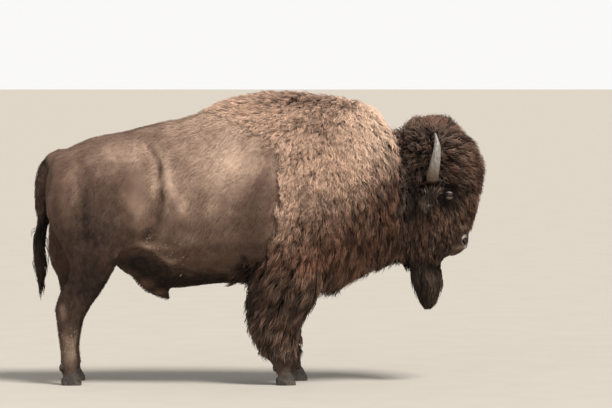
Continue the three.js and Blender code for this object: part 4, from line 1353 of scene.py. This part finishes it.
def horn_material():
    """Grey horn with a long grain, dark at the root, warm above it and darker again at the tip."""
    material, tree, shader = new_material("grey horn", **{"Coat Weight": 0.15, "Coat Roughness": 0.3})
    along = stored(tree, "along")["Fac"]
    place = stretched(tree, own_place(tree), Scale=(160.0, 160.0, 22.0))
    grain = texture(tree, "ShaderNodeTexNoise", place, Scale=1.0, Detail=5.0)
    colour = (0.020, 0.014, 0.010, 1)
    for low, high, paint in (
        (0.20, 0.34, (0.150, 0.105, 0.070, 1)),
        (0.34, 0.62, (0.215, 0.188, 0.165, 1)),
        (0.80, 0.98, (0.160, 0.150, 0.140, 1)),
    ):
        colour = mix(tree, span(tree, along, low, high), colour, paint)
    shade = span(tree, grain, 0.35, 0.62, 0.55, 1.1)
    tree.links.new(shaded(tree, colour, shade), shader["Base Color"])
    tree.links.new(span(tree, grain, 0.3, 0.7, 0.55, 0.38), shader["Roughness"])
    roughen(tree, shader, grain, 0.4)
    return material


def hoof_material():
    """Dark horn with growth lines, dusty near the ground."""
    material, tree, shader = new_material("dark hoof", **{"Specular IOR Level": 0.3})
    place = own_place(tree)
    height = node(tree, "ShaderNodeSeparateXYZ")
    tree.links.new(place, height.inputs[0])
    lines = texture(tree, "ShaderNodeTexWave", place, Scale=32.0, Distortion=1.5, Detail=2.0,
                    bands_direction="Z")
    dust = texture(tree, "ShaderNodeTexNoise", place, Scale=45.0, Detail=5.0)
    worn = mix(tree, span(tree, lines, 0.2, 0.8), (0.019, 0.015, 0.013, 1), (0.036, 0.029, 0.024, 1))
    low = span(tree, height.outputs["Z"], 0.0, 0.06, 0.26, 0.04)
    dusty = times(tree, low, span(tree, dust, 0.35, 0.7), clamp=True)
    tree.links.new(mix(tree, dusty, worn, (0.30, 0.24, 0.18, 1)), shader["Base Color"])
    tree.links.new(span(tree, dust, 0.3, 0.7, 0.45, 0.75), shader["Roughness"])
    roughen(tree, shader, lines, 0.3)
    return material


def eye_material():
    """A wet eye: a long dark pupil, a brown iris and a dark white round it."""
    gloss = {"Roughness": 0.18, "Specular IOR Level": 0.3, "Coat Weight": 0.35, "Coat Roughness": 0.04}
    material, tree, shader = new_material("wet eye", **gloss)
    fibres = texture(tree, "ShaderNodeTexNoise", own_place(tree), Scale=700.0, Detail=3.0)
    iris = mix(tree, fibres, (0.012, 0.006, 0.004, 1), (0.036, 0.017, 0.009, 1))
    white = mix(tree, fibres, (0.016, 0.011, 0.009, 1), (0.034, 0.024, 0.019, 1))
    in_pupil = span(tree, stored(tree, "pupil")["Fac"], 0.9, 1.1)
    off_iris = span(tree, stored(tree, "iris")["Fac"], 0.66, 0.76)
    dark = mix(tree, in_pupil, (0.002, 0.002, 0.003, 1), iris)
    tree.links.new(mix(tree, off_iris, dark, white), shader["Base Color"])
    return material


def finish_pieces():
    hair, hide = coat_material(), skin_material()
    for piece in coat:
        piece.data.materials.append(hair)
        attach(piece, "root")
    skin.data.materials.append(hide)
    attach(skin, "root")
    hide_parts(*FLESH, *EARS)
    for pieces, material, slot in (
        (horns, horn_material(), "horn"),
        (eyes, eye_material(), "eye"),
        (claws, hoof_material(), "hoof"),
    ):
        for piece in pieces:
            piece.data.materials.append(material)
            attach(piece, "root")
            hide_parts(piece.name.removesuffix("_visual"))


finish_pieces()

# ---------------------------------------------------------------- floor, light and camera

SURROUND = (1.0, 0.995, 0.98, 1)
CAMERA_DIP = 1.998  # degrees below level


def make_floor():
    """A plain pale floor that reaches to the horizon."""
    deselect()
    bpy.ops.mesh.primitive_plane_add(size=3000, location=(0, 0, 0))
    floor = bpy.context.active_object
    floor.name = "floor"
    material, tree, shader = new_material("pale floor", Roughness=0.9)
    grain = texture(tree, "ShaderNodeTexNoise", own_place(tree), Scale=3.0, Detail=6.0)
    pale = mix(tree, grain, (0.33, 0.30, 0.26, 1), (0.37, 0.34, 0.295, 1))
    tree.links.new(pale, shader["Base Color"])
    floor.data.materials.append(material)


def aim(name, light, place, target):
    """Puts a light in its place, pointed at a target."""
    lamp = bpy.data.objects.new(name, light)
    bpy.context.collection.objects.link(lamp)
    lamp.location = place
    lamp.rotation_euler = (Vector(target) - Vector(place)).to_track_quat("-Z", "Y").to_euler()


def make_light():
    """A broad soft key light from above and ahead, and a fill from the camera's side."""
    key = bpy.data.lights.new("key", "SUN")
    key.energy = 5.4
    key.angle = math.radians(20)
    key.color = (1.0, 0.975, 0.94)
    aim("key", key, (3.9, -4.0, 9.2), (0.1, 0, 1.0))
    fill = bpy.data.lights.new("fill", "AREA")
    fill.shape = "RECTANGLE"
    fill.size, fill.size_y = 5.0, 3.0
    fill.energy = 120
    fill.color = (0.97, 0.98, 1.0)
    aim("fill", fill, (-3.0, -6.0, 3.6), (0.0, 0, 1.0))


def make_surround():
    """A pale surround that looks brighter than the light it gives."""
    world = bpy.data.worlds.new("studio")
    world.use_nodes = True
    tree = world.node_tree
    given = tree.nodes["Background"]
    given.inputs["Color"].default_value = SURROUND
    given.inputs["Strength"].default_value = 0.62
    seen = node(tree, "ShaderNodeBackground", Color=SURROUND, Strength=0.95)
    either = node(tree, "ShaderNodeMixShader")
    sources = (node(tree, "ShaderNodeLightPath").outputs["Is Camera Ray"], given.outputs[0], seen.outputs[0])
    for source, socket in zip(sources, either.inputs):
        tree.links.new(source, socket)
    tree.links.new(either.outputs[0], tree.nodes["World Output"].inputs["Surface"])
    bpy.context.scene.world = world


def make_camera():
    """A long lens square to the animal's right side, looking down a little."""
    camera = bpy.data.cameras.new("camera")
    camera.lens = 200
    camera.sensor_width = 36
    camera.clip_end = 4000
    stand = bpy.data.objects.new("camera", camera)
    bpy.context.collection.objects.link(stand)
    stand.location = (0.2886, -20.74, 1.816)
    stand.rotation_euler = (math.radians(90 - CAMERA_DIP), 0, 0)
    bpy.context.scene.camera = stand


make_floor()
make_light()
make_surround()
make_camera()
bpy.context.scene.view_settings.view_transform = "Standard"
